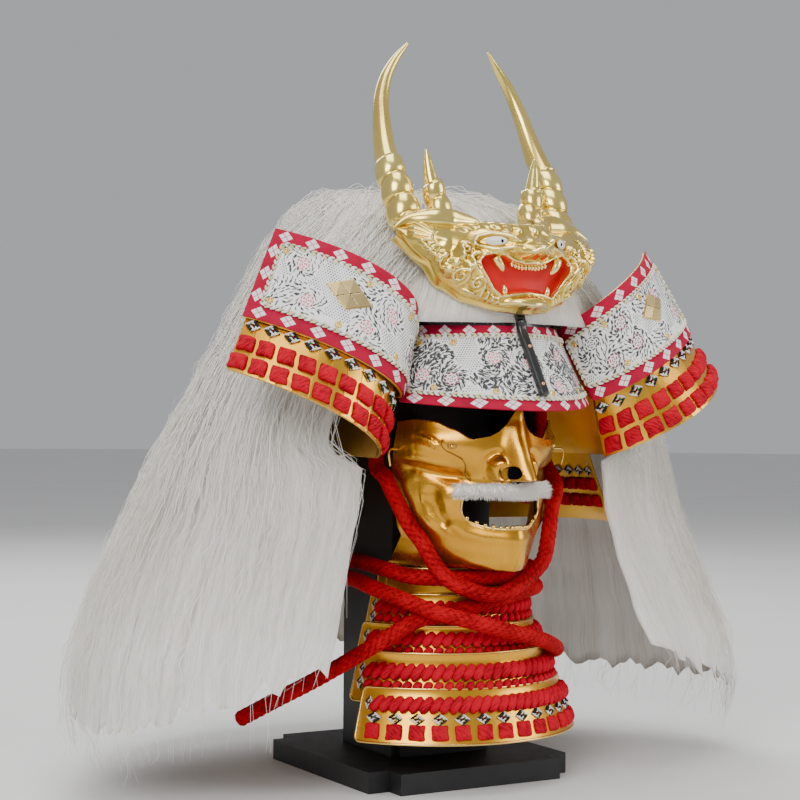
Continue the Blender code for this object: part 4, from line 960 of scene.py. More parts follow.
def neckEdge(edge, u, halfWidth, halfLength, z):
    # u is 0 at the back, one half at the temple and 1 at the wing's tip
    x, y, high, spread, back, rise, nearForward, farForward, nearRise, farRise = neck["edges"][edge]
    corner = asArray((x, y, high))
    u = asArray(u)
    angle = math.pi + (neck["arcEnd"] - math.pi) * np.minimum(u / neck["firstShare"], 1)
    arc = ovalPoint(halfWidth, halfLength, bowl["centreY"], angle, z)
    share = np.clip((u - neck["firstShare"]) / (neck["temple"] - neck["firstShare"]), 0, 1)
    arc = arc + (corner - arc) * share[..., None]
    turned = bezierPoint((
        corner, corner + asArray((spread * 0.07, -nearForward, rise * nearRise)),
        corner + asArray((spread * 0.57, -farForward, rise * farRise)),
        corner + asArray((spread, back, rise)),
    ), np.maximum((u - neck["temple"]) / (1 - neck["temple"]), 0))
    return np.where((u < neck["temple"])[..., None], arc, turned)


def firstLame(u, v):
    u, v = np.broadcast_arrays(asArray(u), asArray(v))
    gap, flare = neck["gap"], neck["flare"]
    top = neckEdge("top", u, bowl["halfWidth"] + gap, bowl["halfLength"] + gap, neck["topZ"])
    low = neckEdge(
        "leather", u, bowl["halfWidth"] + flare, bowl["halfLength"] + flare, neck["topZ"] - neck["drop"],
    )
    return top + (low - top) * v[..., None]


def secondLame(u, v):
    u, v = np.broadcast_arrays(asArray(u), asArray(v))
    at, flare = u * 0 + 1 - neck["lap"] / neck["drop"], neck["flare"]
    top = firstLame(u, at) - frontNormal(firstLame, u, at) * neck["secondStep"]
    low = neckEdge(
        "lame", u, bowl["halfWidth"] + flare * 2.1, bowl["halfLength"] + flare * 1.9,
        neck["topZ"] - neck["drop"] * 1.92
    )
    return top + (low - top) * v[..., None]


def thirdLame(u, v):
    # only round the back: u is 0 at the back and 1 at the end beside the mask
    u, v = np.broadcast_arrays(asArray(u), asArray(v))
    reach = u * neck["firstShare"] * (math.pi - neck["thirdEnd"]) / (math.pi - neck["arcEnd"])
    angle = math.pi + (neck["thirdEnd"] - math.pi) * u
    at, flare = u * 0 + 1 - neck["lap"] / neck["drop"], neck["flare"]
    top = secondLame(reach, at) - frontNormal(secondLame, reach, at) * neck["thirdStep"]
    low = ovalPoint(
        bowl["halfWidth"] + flare * 3.2, bowl["halfLength"] + flare * 2.8, bowl["centreY"], angle,
        neck["topZ"] - neck["drop"] * 3.05 - neck["thirdDip"] * np.sin(angle - math.pi / 2) ** 2,
    )
    return top + (low - top) * v[..., None]


def bothSides(sheet):
    def whole(u, v):
        u = asArray(u)
        return sheet(np.abs(u), v) * vector3(np.where(u < 0, -1.0, 1.0), 1, 1)
    return whole


def makeLame(name, sheet, columns, lifts, node):
    u = asArray(columns)[:, None] + np.zeros((1, 9))
    v = np.linspace(0, 1, 9)[None] + np.zeros((len(columns), 1))
    lift = asArray(lifts)[:, None] * np.minimum(v * 3, 1)
    whole = bothSides(sheet)
    v = v * (1 + asArray(lifts)[:, None])
    points = whole(u, v) + frontNormal(whole, u, v) * lift[..., None]
    piece = addPiece(
        name, points, gridFaces(len(columns), 9, flip=True).tolist(), goldLacquer, "gold_lacquer", (node,),
    )
    # the inside of the wall takes the second finish: painted shade
    piece.data.materials.append(lameInsideShade)
    thicken(piece, neck["plate"])
    piece.modifiers["Wall"].material_offset = 1
    soften(piece, 0.0005)


def seamedColumns(layout, pitch, step):
    # stations of a lame from back to tip whose plates lap over each other like shingles
    columns, lifts = list(np.linspace(0, neck["temple"], 40)), [0.0] * 40
    count = int(layout["length"] / pitch) + 1
    for k in range(count):
        for share, lift in (
            (0.006, 0.0), (0.04, step * 0.04), (0.5, step * 0.5), (0.96, step * 0.96), (0.994, step),
        ):
            s = (k + share) * layout["length"] / count
            columns.append(float(np.interp(s, layout["along"], layout["u"])))
            lifts.append(lift * min(1, 3 * (1 - k / count)))
    columns.append(1.0)
    lifts.append(lifts[-1])
    return [-u for u in columns[:0:-1]] + columns, lifts[:0:-1] + lifts


def makeMon(name, layout, size, side, node):
    # a lozenge plate cut into four by fine raised lines
    x, y, wide, tall = size["mon"]
    s = float(np.interp(x, layout["u"], layout["along"]))
    t = y * float(np.interp(x, layout["u"], layout["tall"]))
    base = [inOrder(asArray([(s + wide, t), (s, t + tall), (s - wide, t), (s, t - tall)]))]
    low = size["clothLift"] + 0.0019
    points, faces = prisms(layout, base, low, low + 0.0009, side)
    soften(addPiece(name, points, faces, badgeGold, "polished_gold", (node,), smooth=False), 0.00025)
    raised = fourLozenge(s, t, wide * 1.92, tall * 1.92, 0.05)
    points, faces = prisms(layout, raised, low + 0.0008, low + 0.0014, side)
    soften(addPiece(name + "Quarters", points, faces, badgeGold, "polished_gold", smooth=False), 0.0003)


badgeGold = goldFinish("badgeGold", (0.6, 0.4, 0.12), (0.5, 0.31, 0.08), (0.85, 0.66, 0.32), 0.34, 0.95, 0.05)
# painted shade: a dark bronze colour for the lames' inner sides, which lie in shade
lameInsideShade = goldFinish(
    "lameInsideShade", (0.26, 0.13, 0.018), (0.2, 0.09, 0.012), (0.34, 0.18, 0.03), 0.42, 0.7, 0.03,
)
wingLayout = makeLayout(firstLame, neck["temple"], 1)
lowWingLayout = makeLayout(secondLame, neck["temple"], 1)
backLayout = makeLayout(thirdLame, 0, 1)
makeLame("firstLame", firstLame, np.linspace(-1, 1, 181), np.zeros(181), "neck_lame_1")
makeLame(
    "secondLame", secondLame, *seamedColumns(lowWingLayout, neck["pitch"], neck["seamStep"]), "neck_lame_2",
)
makeLame("thirdLame", thirdLame, np.linspace(-1, 1, 101), np.zeros(101), "neck_lame_3")
for side, label in ((-1, "right"), (1, "left")):
    prefix = "wing" + label.capitalize()
    makePrintedBand(
        wingLayout, dict(wing, rosettes=wing["rosettes"][side]), side, (0.004, wing["border"] * 0.96),
        (f"wing_border_{label}", f"wing_leather_{label}"), prefix, (1,), 21 + side,
    )
    makeMon(prefix + "Mon", wingLayout, wing, side, f"wing_mon_{label}")
    step = lowWingLayout["length"] / wing["squares"]
    for row, share, ahead in (("upper", 0.585, 0.5), ("lower", 0.86, 0.6)):
        centres = []
        for k in range(wing["squares"]):
            tall = np.interp(step * (k + 0.5), lowWingLayout["along"], lowWingLayout["tall"])
            centres.append((step * (k + ahead), share * tall))
        name, node = f"{prefix}{row.capitalize()}Squares", f"wing_lacing_{row}_{label}"
        addPads(name, lowWingLayout, centres, 0.0079, 0.0076, 0.005, 0.0006, (node,), side)
    centres = [(step * (k + 0.46), 0.0208) for k in range(wing["squares"])]
    addStitches(prefix + "Stitch", lowWingLayout, centres, 0.0082, 0.0062, 0.0006, side)
    end, step = backLayout["length"], wing["innerPitch"]
    centres = [(end - 0.01 - step * k, t) for t in (0.044, 0.0605) for k in range(7)]
    addPads(prefix + "InnerSquares", backLayout, centres, 0.0069, 0.0066, 0.0042, 0.0006, (), side, cells=11)
    centres = [(end - 0.009 - step * k, 0.0305) for k in range(7)]
    addStitches(prefix + "InnerStitch", backLayout, centres, 0.0068, 0.0054, 0.0006, side)
print("neck guard dressed")

# mask
mask = {
    "perDegree": 0.00162,  # metres round the face for each degree
    "sideY": -0.015, "halfWidth": 0.086, "depth": 0.102, "wall": 0.0015, "chinZ": 0.187, "height": 0.126,
    "noseReach": 0.0225, "noseLift": 0.002, "keel": 0.0065,
    "rows": (
        # height share, half-width share, depth share, roundness, angle of the side's end in degrees
        (-0.02, 0.56, 0.89, 1.55, 76.0), (0.06, 0.66, 0.92, 1.5, 76.0), (0.17, 0.75, 0.955, 1.42, 76.0),
        (0.3, 0.82, 0.98, 1.38, 76.0), (0.42, 0.85, 0.99, 1.37, 76.0), (0.55, 0.9, 0.985, 1.4, 75.0),
        (0.62, 0.93, 0.96, 1.45, 74.0), (0.75, 0.975, 0.925, 1.55, 70.0), (0.9, 0.99, 0.9, 1.6, 67.0),
        (1.1, 0.98, 0.89, 1.6, 66.0),
    ),
    "edges": (
        # angle share, lower edge, upper edge
        (0.0, 0.0, 0.8), (0.28, 0.01, 0.785), (0.42, 0.04, 0.872), (0.56, 0.09, 0.94),
        (0.7, 0.16, 0.99), (0.85, 0.2, 1.0), (1.0, 0.215, 0.985),
    ),
    "relief": (
        # angle in degrees, height share, width in degrees, height spread, lift
        (46.0, 0.84, 22.0, 0.1, 0.005), (40.0, 0.62, 16.0, 0.07, -0.006), (52.0, 0.42, 12.0, 0.22, 0.005),
        (0.0, 0.12, 26.0, 0.12, 0.004), (30.0, 0.46, 8.0, 0.16, -0.004),
    ),
    "folds": (
        # points in degrees and height share, width and lift in metres
        (((53.1, 0.912), (48.6, 0.884), (43.6, 0.836)), 0.0011, -0.0011),
        (((57.1, 0.889), (50.6, 0.856), (45.1, 0.8)), 0.0011, -0.0011),
        (((55.0, 0.902), (49.8, 0.87), (44.6, 0.818)), 0.0013, 0.0009),
        (((66.0, 0.69), (55.1, 0.672), (45.6, 0.627), (36.0, 0.612)), 0.0042, -0.003),
        (((66.0, 0.755), (55.1, 0.735), (46.0, 0.7), (38.0, 0.68)), 0.0045, 0.0018),
        (((66.0, 0.61), (63.5, 0.5), (59.0, 0.37), (51.0, 0.262)), 0.0055, 0.003),
        (((56.6, 0.56), (56.6, 0.466), (54.1, 0.373), (48.6, 0.286), (45.1, 0.245)), 0.0013, 0.0013),
        (((52.0, 0.57), (51.5, 0.46), (49.0, 0.36), (45.0, 0.29)), 0.008, -0.0034),
        (
            (
                (45.6, 0.52), (45.8, 0.457), (45.6, 0.379), (43.6, 0.305), (38.2, 0.246), (28.0, 0.222),
                (12.0, 0.215), (0.0, 0.215),
            ),
            0.005, 0.0014,
        ),
        (((0.0, 0.04), (16.0, 0.05)), 0.009, 0.0016),
    ),
    "mouth": (
        (0.0, 0.285), (10.0, 0.282), (20.0, 0.282), (30.0, 0.3), (36.5, 0.332), (39.2, 0.38), (39.2, 0.44),
        (37.0, 0.5), (30.0, 0.535), (18.0, 0.545), (0.0, 0.545),
    ),
    "noseEdges": (
        # angle in degrees, lower edge, upper edge
        (0.0, 0.592, 1.085), (4.3, 0.592, 1.062), (9.3, 0.596, 0.975), (14.0, 0.598, 0.922),
        (19.0, 0.6, 0.892),
        (29.0, 0.612, 0.868), (33.0, 0.64, 0.871), (34.2, 0.728, 0.876), (38.0, 0.768, 0.888),
        (41.6, 0.795, 0.872),
        (43.0, 0.838, 0.85),
    ),
    "seam": (
        (0.592, 33.0), (0.628, 36.2), (0.701, 33.7), (0.741, 34.2), (0.772, 38.2), (0.8, 42.1), (0.845, 43.1),
        (0.876, 42.1),
    ),
    "nostril": (12.6, 0.65, 0.0084, 0.0054), "hook": (66.0, 0.8, 0.0014),
    "beads": 17, "beadRadius": 0.0021,
}


def foldLift(degrees, share, folds):
    # ridges and grooves along lines drawn on the sheet
    x, y = np.abs(degrees) * mask["perDegree"], share * mask["height"]
    lift = 0.0
    for line, width, height in folds:
        nearest = np.full(np.broadcast(x, y).shape, 9.0)
        taper = np.ones_like(nearest)
        line = asArray(line) * [mask["perDegree"], mask["height"]]
        for k, (a, b) in enumerate(zip(line, line[1:])):
            run = b - a
            t = np.clip(((x - a[0]) * run[0] + (y - a[1]) * run[1]) / (run @ run), 0, 1)
            away = np.hypot(x - a[0] - run[0] * t, y - a[1] - run[1] * t)
            closer = away < nearest
            nearest = np.where(closer, away, nearest)
            part = (k + t) / (len(line) - 1)
            ends = np.minimum(part, np.where(line[-1, 0] < 0.0002, 9.0, 1 - part)) * 5
            taper = np.where(closer, np.clip(ends + 0.25, 0, 1), taper)
        lift = lift + height * taper * np.exp(-((nearest / width) ** 2))
    return lift


def maskSurface(angle, share, folds=()):
    angle, share = np.broadcast_arrays(asArray(angle), asArray(share))
    wide = mask["halfWidth"] * readTable(mask["rows"], share, 1)
    deep = mask["depth"] * readTable(mask["rows"], share, 2)
    degrees = np.degrees(angle)
    lift = foldLift(degrees, share, folds) if folds else 0.0
    for at, high, spread, tall, height in mask["relief"]:
        lift = lift + height * np.exp(
            -(((np.abs(degrees) - at) / spread) ** 2) - ((share - high) / tall) ** 2
        )
    bend = 2.0 / readTable(mask["rows"], share, 3)
    across = np.sign(angle) * np.abs(np.sin(angle)) ** bend
    rounded = np.hypot(across, mask["keel"] / wide)
    forward = np.maximum(0, 1 - rounded ** (2 / bend)) ** (bend / 2)
    forward = np.where(np.abs(across) < 0.8, forward, np.cos(angle) ** bend)
    outward = unit(vector3(np.sin(angle) / wide, -np.cos(angle) / deep, 0))
    place = vector3(wide * across, mask["sideY"] - deep * forward, mask["chinZ"] + mask["height"] * share)
    return place + outward * asArray(lift)[..., None]


def maskOutward(place):
    return unit(place * [1, 1, 0] - asArray([0, mask["sideY"], 0]))


def cutHole(flat, faces, outline):
    # drops the faces inside an outline and draws the cut edge onto it
    centre = flat[faces].mean(1)
    inside = insideOutline(centre, outline)
    edge = np.intersect1d(faces[inside].ravel(), faces[~inside].ravel())
    ends = np.roll(outline, -1, axis=0)
    run = ends - outline
    t = np.clip(((flat[edge][:, None] - outline) * run).sum(-1) / (run * run).sum(-1), 0, 1)
    foot = outline + run * t[..., None]
    away = np.linalg.norm(flat[edge][:, None] - foot, axis=-1)
    flat = flat.copy()
    flat[edge] = foot[np.arange(len(edge)), away.argmin(1)]
    return flat, faces[~inside]


def insideOutline(points, outline):
    x, y = points[:, 0:1], points[:, 1:2]
    a, b = outline, np.roll(outline, -1, axis=0)
    crosses = ((a[:, 1] > y) != (b[:, 1] > y)) & (
        x < (b[:, 0] - a[:, 0]) * (y - a[:, 1]) / np.where(b[:, 1] == a[:, 1], 1e-9, b[:, 1] - a[:, 1])
        + a[:, 0]
    )
    return crosses.sum(1) % 2 == 1


def keepUsed(points, faces):
    used, renumbered = np.unique(faces, return_inverse=True)
    return points[used], renumbered.reshape(faces.shape)


def closedOutline(half, count=160):
    # a smooth closed outline from its right half, in degrees and height share
    both = list(half) + [(-x, y) for x, y in half[-2:0:-1]]
    path, _ = smoothPath([(x * 0.1, y * 10, 0) for x, y in both + both[:1]], 0.02)
    path = path[:-1, :2] * [10, 0.1]
    return path[np.linspace(0, len(path) - 1, count).astype(int)]


def makeMaskShell(finish):
    rows, columns = 150, 88
    u = np.linspace(-1, 1, rows)
    v = np.linspace(0, 1, columns - 14)
    low, high = readTable(mask["edges"], np.abs(u), 1), readTable(mask["edges"], np.abs(u), 2)
    share = high[:, None] + (low - high)[:, None] * v[None]
    degrees = readTable(mask["rows"], share, 4) * u[:, None]
    flat = np.stack([degrees, share], -1).reshape(-1, 2)
    faces = gridFaces(rows, columns - 14, flip=True)
    mouth = closedOutline(mask["mouth"])
    flat, faces = cutHole(flat, faces, mouth)
    points = maskSurface(np.radians(flat[:, 0]), flat[:, 1], mask["folds"])
    # the floor under the chin, drawn in to the throat guard's top
    rim = maskSurface(np.radians(degrees[:, -1]), share[:, -1], mask["folds"])
    turn = throat["lames"][0][3] * u
    radius = throat["radius"] - 0.002
    inner = ovalPoint(radius, radius, throat["centreY"], np.radians(turn), throat["topZ"] + 0.0004)
    t = np.linspace(0, 1, 15)[None, :, None]
    under = rim[:, None] + (inner - rim)[:, None] * t
    under[..., 2] = rim[:, None, 2] + (inner[:, None, 2] - rim[:, None, 2]) * np.sin(t[..., 0] * math.pi / 2)
    underPoints, underFaces = under.reshape(-1, 3), gridFaces(rows, 15, start=len(points), flip=True)
    points, faces = keepUsed(np.concatenate([points, underPoints]), np.concatenate([faces, underFaces]))
    piece = addPiece("maskShell", points, faces.tolist(), finish, "gold_lacquer", ("mask_shell",))
    weld = piece.modifiers.new("Weld", "WELD")
    weld.merge_threshold = 0.00002
    thicken(piece, mask["wall"])
    soften(piece, 0.0003, 1)
    # a bright rolled rim round the mouth, with a row of little gold teeth on the lower lip
    rimLine = maskSurface(np.radians(mouth[:, 0]), mouth[:, 1], mask["folds"])
    outward = maskOutward(rimLine)
    points, faces = ringSweep(rimLine + outward * 0.0002, 0.001, 8, outward)
    addPiece("mouthRim", points, faces, brightGold, "polished_gold")
    teeth = []
    for number in range(mask["beads"]):
        x = -37.0 + 74.0 * number / (mask["beads"] - 1)
        y = float(readLine(mask["mouth"][:6], abs(x))) + 0.008
        place = maskSurface(math.radians(x), y, mask["folds"])
        teeth.append(ball(place - maskOutward(place) * 0.0004, (mask["beadRadius"],) * 3, 10))
    for number in range(9):
        x = -32.0 + 64.0 * number / 8
        place = maskSurface(math.radians(x), 0.528 - 0.0002 * abs(x))
        teeth.append(ball(place - maskOutward(place) * 0.0015, (0.0027, 0.0027, 0.0022), 10))
    addPiece("maskTeeth", *joined(teeth), brightGold, "polished_gold")


def ringSweep(path, radius, sides, reference):
    # a closed tube
    along = unit(np.roll(path, -1, axis=0) - np.roll(path, 1, axis=0))
    across = unit(np.cross(along, reference))
    up = np.cross(across, along)
    angle = roundTurn(sides)
    rings = path[:, None] + (
        across[:, None] * np.cos(angle)[:, None] + up[:, None] * np.sin(angle)[:, None]
    ) * radius
    return rings.reshape(-1, 3), gridFaces(len(path), sides, wrapColumns=True, wrapRows=True).tolist()


def ball(place, radii, sides=12):
    # an ellipsoid
    rows = sides // 2
    tilt = math.pi * np.arange(1, rows) / rows
    tilt, turn = tilt[:, None], roundTurn(sides)[None]
    shell = vector3(np.sin(tilt) * np.cos(turn), np.sin(tilt) * np.sin(turn), np.cos(tilt)).reshape(-1, 3)
    points = np.concatenate([[[0, 0, 1.0]], shell, [[0, 0, -1.0]]]) * asArray(radii) + place
    faces = [[0, 1 + k, 1 + (k + 1) % sides] for k in range(sides)]
    faces += gridFaces(rows - 1, sides, start=1, wrapColumns=True).tolist()
    last = 1 + (rows - 2) * sides
    faces += [[last + (k + 1) % sides, last + k, len(points) - 1] for k in range(sides)]
    return points, faces


def noseSurface(degrees, share):
    # the nose plate: it lies on the cheeks, rises to a broad bridge and swells at tip and wings
    place = maskSurface(np.radians(degrees), share)
    size = np.abs(degrees)
    fall = np.clip((1.0 - share) / 0.4, 0, 1)
    width = 7.8 + 4.6 * fall
    ridge = (0.26 + 0.74 * fall**1.3) * np.exp(-((size / width) ** 3))
    behind = place[..., 1] - maskSurface(0 * size, share)[..., 1]
    rounded = 0.62 * behind * np.exp(-((size / (width * 1.1)) ** 4))
    lift = mask["noseLift"] + mask["noseReach"] * ridge + rounded
    x, y = size * mask["perDegree"], share * mask["height"]
    nx, ny = mask["nostril"][0] * mask["perDegree"], mask["nostril"][1] * mask["height"]
    away = np.hypot(x - nx - 0.0035, y - ny)
    outer = np.clip((x - nx) / 0.004, 0, 1)
    lift = lift + 0.0052 * np.exp(-(((away - 0.0085) / 0.0044) ** 2)) * (0.25 + 0.75 * outer)
    lift = lift - 0.0022 * np.exp(-(((away - 0.0165) / 0.003) ** 2)) * outer
    lift = lift + 0.0006 * np.clip((readLine(mask["seam"], share) - size) / 1.2, -1, 1)
    lift = lift * np.clip((share - 0.585) / 0.02, 0.35, 1)
    return place + maskOutward(place) * lift[..., None]


def makeNose(finish):
    rows, columns = 102, 56
    u, v = np.linspace(-43.0, 43.0, rows), np.linspace(0, 1, columns)
    low, high = [readLine(mask["noseEdges"], np.abs(u), column) for column in (1, 2)]
    share = high[:, None] + (low - high)[:, None] * v[None]
    flat = np.stack([u[:, None] + 0 * share, share], -1).reshape(-1, 2)
    faces = gridFaces(rows, columns, flip=True)
    angle = roundTurn(40)
    for side in (-1, 1):
        x, y, wide, tall = mask["nostril"]
        across, up = np.cos(angle) * wide, np.sin(angle) * tall
        tilt = -side * 0.45
        hole = np.stack([
            side * x + (across * math.cos(tilt) - up * math.sin(tilt)) / mask["perDegree"],
            y + (across * math.sin(tilt) + up * math.cos(tilt)) / mask["height"],
        ], 1)
        flat, faces = cutHole(flat, faces, hole)
    points, faces = keepUsed(noseSurface(flat[:, 0], flat[:, 1]), faces)
    piece = addPiece("maskNose", points, faces.tolist(), finish, "gold_lacquer", ("mask_nose",))
    thicken(piece, mask["wall"] * 0.8)
    soften(piece, 0.0004, 2)
    # painted shade: black balls behind the nostrils stand in for the shade inside them
    shades = []
    for side in (-1, 1):
        x, y = side * mask["nostril"][0], mask["nostril"][1]
        place = noseSurface(x, y)
        across = noseSurface(x + 1, y) - noseSurface(x - 1, y)
        facing = unit(np.cross(across, noseSurface(x, y + 0.02) - noseSurface(x, y - 0.02)))
        shades.append(ball(place - facing * 0.0105, (0.0088, 0.0088, 0.008), 16))
    addPiece("nostrilShade", *joined(shades), deepBlack, "black_lacquer")
    # the dark seam between the nose plate and the cheeks
    seams = []
    for side in (-1, 1):
        share = np.linspace(mask["seam"][0][0] + 0.004, mask["seam"][-1][0] - 0.002, 40)
        line = np.convolve(np.pad(readLine(mask["seam"], share), 2, "edge"), np.ones(5) / 5, "valid")
        path = noseSurface(side * line, share)
        seams.append(sweep(path - maskOutward(path) * 0.0001, np.full(len(path), 0.00042), 6))
    addPiece("noseSeam", *joined(seams), seamBrown, "gold_lacquer")
    # the pins that hold the nose plate, each with its keyhole ring
    pins, rings = [], []
    for side in (-1, 1):
        x, y = side * 38.4, 0.826
        place = noseSurface(asArray([x]), asArray([y]))[0]
        out = maskOutward(place)
        pins.append(ball(place + out * 0.0002, (0.0017, 0.0017, 0.0017), 10))
        turn = np.linspace(0, 2 * math.pi, 29)[:-1]
        ringX = np.cos(turn) * 0.003 * (1 + 0.25 * np.cos(turn)) - 0.0004
        degrees = x - side * ringX / mask["perDegree"]
        line = noseSurface(degrees, y + np.sin(turn) * 0.0022 / mask["height"]) + out * 0.0001
        rings.append(ringSweep(line, 0.00062, 6, np.broadcast_to(out, line.shape)))
    addPiece("nosePins", *joined(pins), brightGold, "polished_gold")
    addPiece("nosePinRings", *joined(rings), darkGold, "gold_lacquer")


def makeHooks():
    bends = ((0.0006, 0.0), (0.01, 0.0), (0.0125, -0.004), (0.0105, -0.014))
    foot = maskSurface(math.radians(mask["hook"][0]), mask["hook"][1])
    outward = maskOutward(foot)
    for side, label in ((-1, "right"), (1, "left")):
        path, _ = smoothPath(
            [(foot + outward * out + [0, 0, rise]) * [side, 1, 1] for out, rise in bends], 0.0006,
        )
        points, faces = sweep(path, np.full(len(path), mask["hook"][2] * 0.72), 12)
        addPiece(
            f"maskHook{label.capitalize()}", points, faces, brightGold, "polished_gold",
            (f"mask_hook_{label}",),
        )


mustache = {
    "z": 0.2545, "height": 0.0125, "halfAngle": 45.5, "aside": 3.6, "strands": 2500, "radius": 0.00034,
    "columns": 61, "rows": 11,
}


def makeMustache(size):
    # a strip of short white fur on its backing
    draws = np.random.default_rng(5)
    middle = (size["z"] - mask["chinZ"]) / mask["height"]

    def onFace(across, up):
        high = middle + up * size["height"] / mask["height"]
        return maskSurface(np.radians(size["aside"] + size["halfAngle"] * across), high)

    rows, columns = size["columns"], size["rows"]
    u, v = np.meshgrid(np.linspace(-1, 1, rows), np.linspace(-1, 1, columns), indexing="ij")
    foot = onFace(u, -v * 0.42)
    swell = 0.0016 + 0.0026 * np.maximum(0, 1 - v**2) ** 0.5
    front, back = foot + maskOutward(foot) * swell[..., None], foot + maskOutward(foot) * 0.0008
    half = rows * columns
    faces = gridFaces(rows, columns, flip=True).tolist() + gridFaces(rows, columns, start=half).tolist()
    faces += [[a, b, b + half, a + half] for a, b in rimPairs(rows, columns)]
    points = np.concatenate([front.reshape(-1, 3), back.reshape(-1, 3)])
    addPiece("mustacheBacking", points, faces, hairFinish, "white_hair", ("mask_mustache",))
    count = size["strands"]
    x, y = draws.uniform(-1, 1, count), draws.uniform(-1, 1, count)
    root = onFace(x, y * 0.4)
    out = maskOutward(root)
    side = np.cross(out, [0, 0, 1.0])
    lean = out * (0.55 - 0.15 * y[:, None]) + asArray([0, 0, 1.0]) * (y * 0.55 - 0.12)[:, None]
    lean = lean + side * (-x * 0.35 + draws.normal(0, 0.22, count))[:, None]
    long = draws.uniform(0.0045, 0.0072, count) * (1 - 0.25 * np.abs(y))
    t = np.linspace(0, 1, 3)
    paths = (
        root[:, None] + out[:, None] * 0.0022 + (unit(lean)[:, None] * (t[None] * long[:, None])[..., None])
    )
    paths[..., 2] -= (t**2)[None] * 0.001
    radii = np.broadcast_to(size["radius"] * (1 - 0.8 * t)[None], paths.shape[:2])
    points, faces = manyTubes(paths, radii, 3, np.broadcast_to(side[:, None], paths.shape))
    lay = [np.repeat(draws.uniform(0, 9, count), 9), np.tile(np.repeat(t, 3), count), np.zeros(count * 9)]
    addPiece("mustacheFur", points, faces, hairFinish, "white_hair", (), np.stack(lay, -1))


def hairMaterial(name, light, dark, tint):
    # pale animal hair: each strand has its own tone
    finish, tree, shader, place = newFinish(
        name, 0.55, Sheen_Weight=0.25, Sheen_Roughness=0.5, Specular_IOR_Level=0.35,
    )
    shader.inputs["Sheen Tint"].default_value = (*light, 1)
    lay = addNode(tree, "Attribute", out=1, attribute_name="lay")
    strand = addNode(tree, "SeparateXYZ", lay, out=0)
    own = addNoise(tree, addNode(tree, "CombineXYZ", strand, 0.0, 0.0), 7.0, 2.0)
    cloudy = addNoise(tree, place, 9.0, 5.0, 0.6)
    shade = addMath(tree, "MULTIPLY_ADD", own, 0.55, addMath(tree, "MULTIPLY", cloudy, 0.5))
    colourFrom(tree, shader, shade, [(0.28, dark), (0.5, tint), (0.66, light)])
    return finish


# sizes of the throat guard, which the mask's floor meets
throat = {
    "topZ": 0.1865, "radius": 0.064, "centreY": 0.009, "wall": 0.0015,
    "lames": (
        # height, lap, flare, half-angle, centre y
        (0.028, 0.0, 0.002, 88.0, 0.009), (0.034, 0.006, 0.008, 85.0, 0.012),
        (0.034, 0.006, 0.009, 80.0, 0.016),
        (0.034, 0.006, 0.01, 73.0, 0.02), (0.045, 0.014, 0.015, 62.0, 0.025),
    ),
    "rows": {
        # lame number: depth of each rope row below its top edge, half its height
        2: ((0.012, 0.0066), (0.0222, 0.0034)), 3: ((0.0125, 0.0066), (0.0226, 0.0034)),
        4: ((0.0172, 0.0073), (0.0284, 0.0034)), 5: ((0.014, 0.0073),),
    },
    "raise": {3: 0.003, 4: 0.009}, "corner": 0.0045, "rim": 0.0011,
    "rope": {"pitch": 0.0084, "lean": 0.0036, "radius": 0.0041},
    "squares": 13, "stitchDepth": 0.0258, "squareDepth": 0.037,
}
maskGold = goldFinish(
    "maskGold", (0.74, 0.36, 0.02), (0.66, 0.3, 0.014), (0.95, 0.6, 0.12), 0.27, 0.95, 0.01, 0.35, 0.12,
)
brightGold = goldFinish(
    "brightGold", (0.96, 0.62, 0.14), (0.86, 0.5, 0.08), (1.0, 0.82, 0.38), 0.18, 1.0, 0.02, 0.3, 0.3,
)
darkGold = goldFinish("darkGold", (0.3, 0.15, 0.03), (0.2, 0.09, 0.02), (0.5, 0.3, 0.1), 0.4, 0.9, 0.03)
seamBrown = goldFinish("seamBrown", (0.1, 0.04, 0.006), (0.06, 0.02, 0.004), (0.2, 0.1, 0.02), 0.5, 0.3, 0.01)
deepBlack = newFinish("deepBlack", 0.9, Base_Color=(0.002, 0.002, 0.002, 1), Specular_IOR_Level=0.05)[0]
hairFinish = hairMaterial("whiteHair", (1.0, 0.98, 0.94), (0.84, 0.79, 0.71), (0.96, 0.93, 0.87))
makeMaskShell(maskGold)
makeNose(maskGold)
makeHooks()
makeMustache(mustache)
print("mask made")


# throat guard: five hanging lames with rolled rims
def throatSizes():
    # each lame's heights and radii follow from the one above it
    made = []
    for height, lap, flare, halfAngle, centreY in throat["lames"]:
        if made:
            above = made[-1]
            topZ = above["lowZ"] + lap
            share = (above["topZ"] - topZ) / (above["topZ"] - above["lowZ"])
            radius = above["topRadius"] + (above["lowRadius"] - above["topRadius"]) * share
            topRadius = centreY - (above["centreY"] - radius - throat["wall"] - 0.0004)
        else:
            topZ, topRadius = throat["topZ"], throat["radius"]
        made.append({
            "topZ": topZ, "lowZ": topZ - height, "topRadius": topRadius, "lowRadius": topRadius + flare,
            "centreY": centreY, "halfAngle": math.radians(halfAngle), "height": height,
        })
    return made


def throatSheet(size, rise=0.0):
    def point(u, v):
        u, v = np.broadcast_arrays(asArray(u), asArray(v))
        v = v * (1 + rise / size["height"]) - rise / size["height"]
        radius = size["topRadius"] + (size["lowRadius"] - size["topRadius"]) * np.maximum(v, 0)
        z = size["topZ"] + (size["lowZ"] - size["topZ"]) * v
        return ovalPoint(radius, radius, size["centreY"], size["halfAngle"] * u, z)
    return point


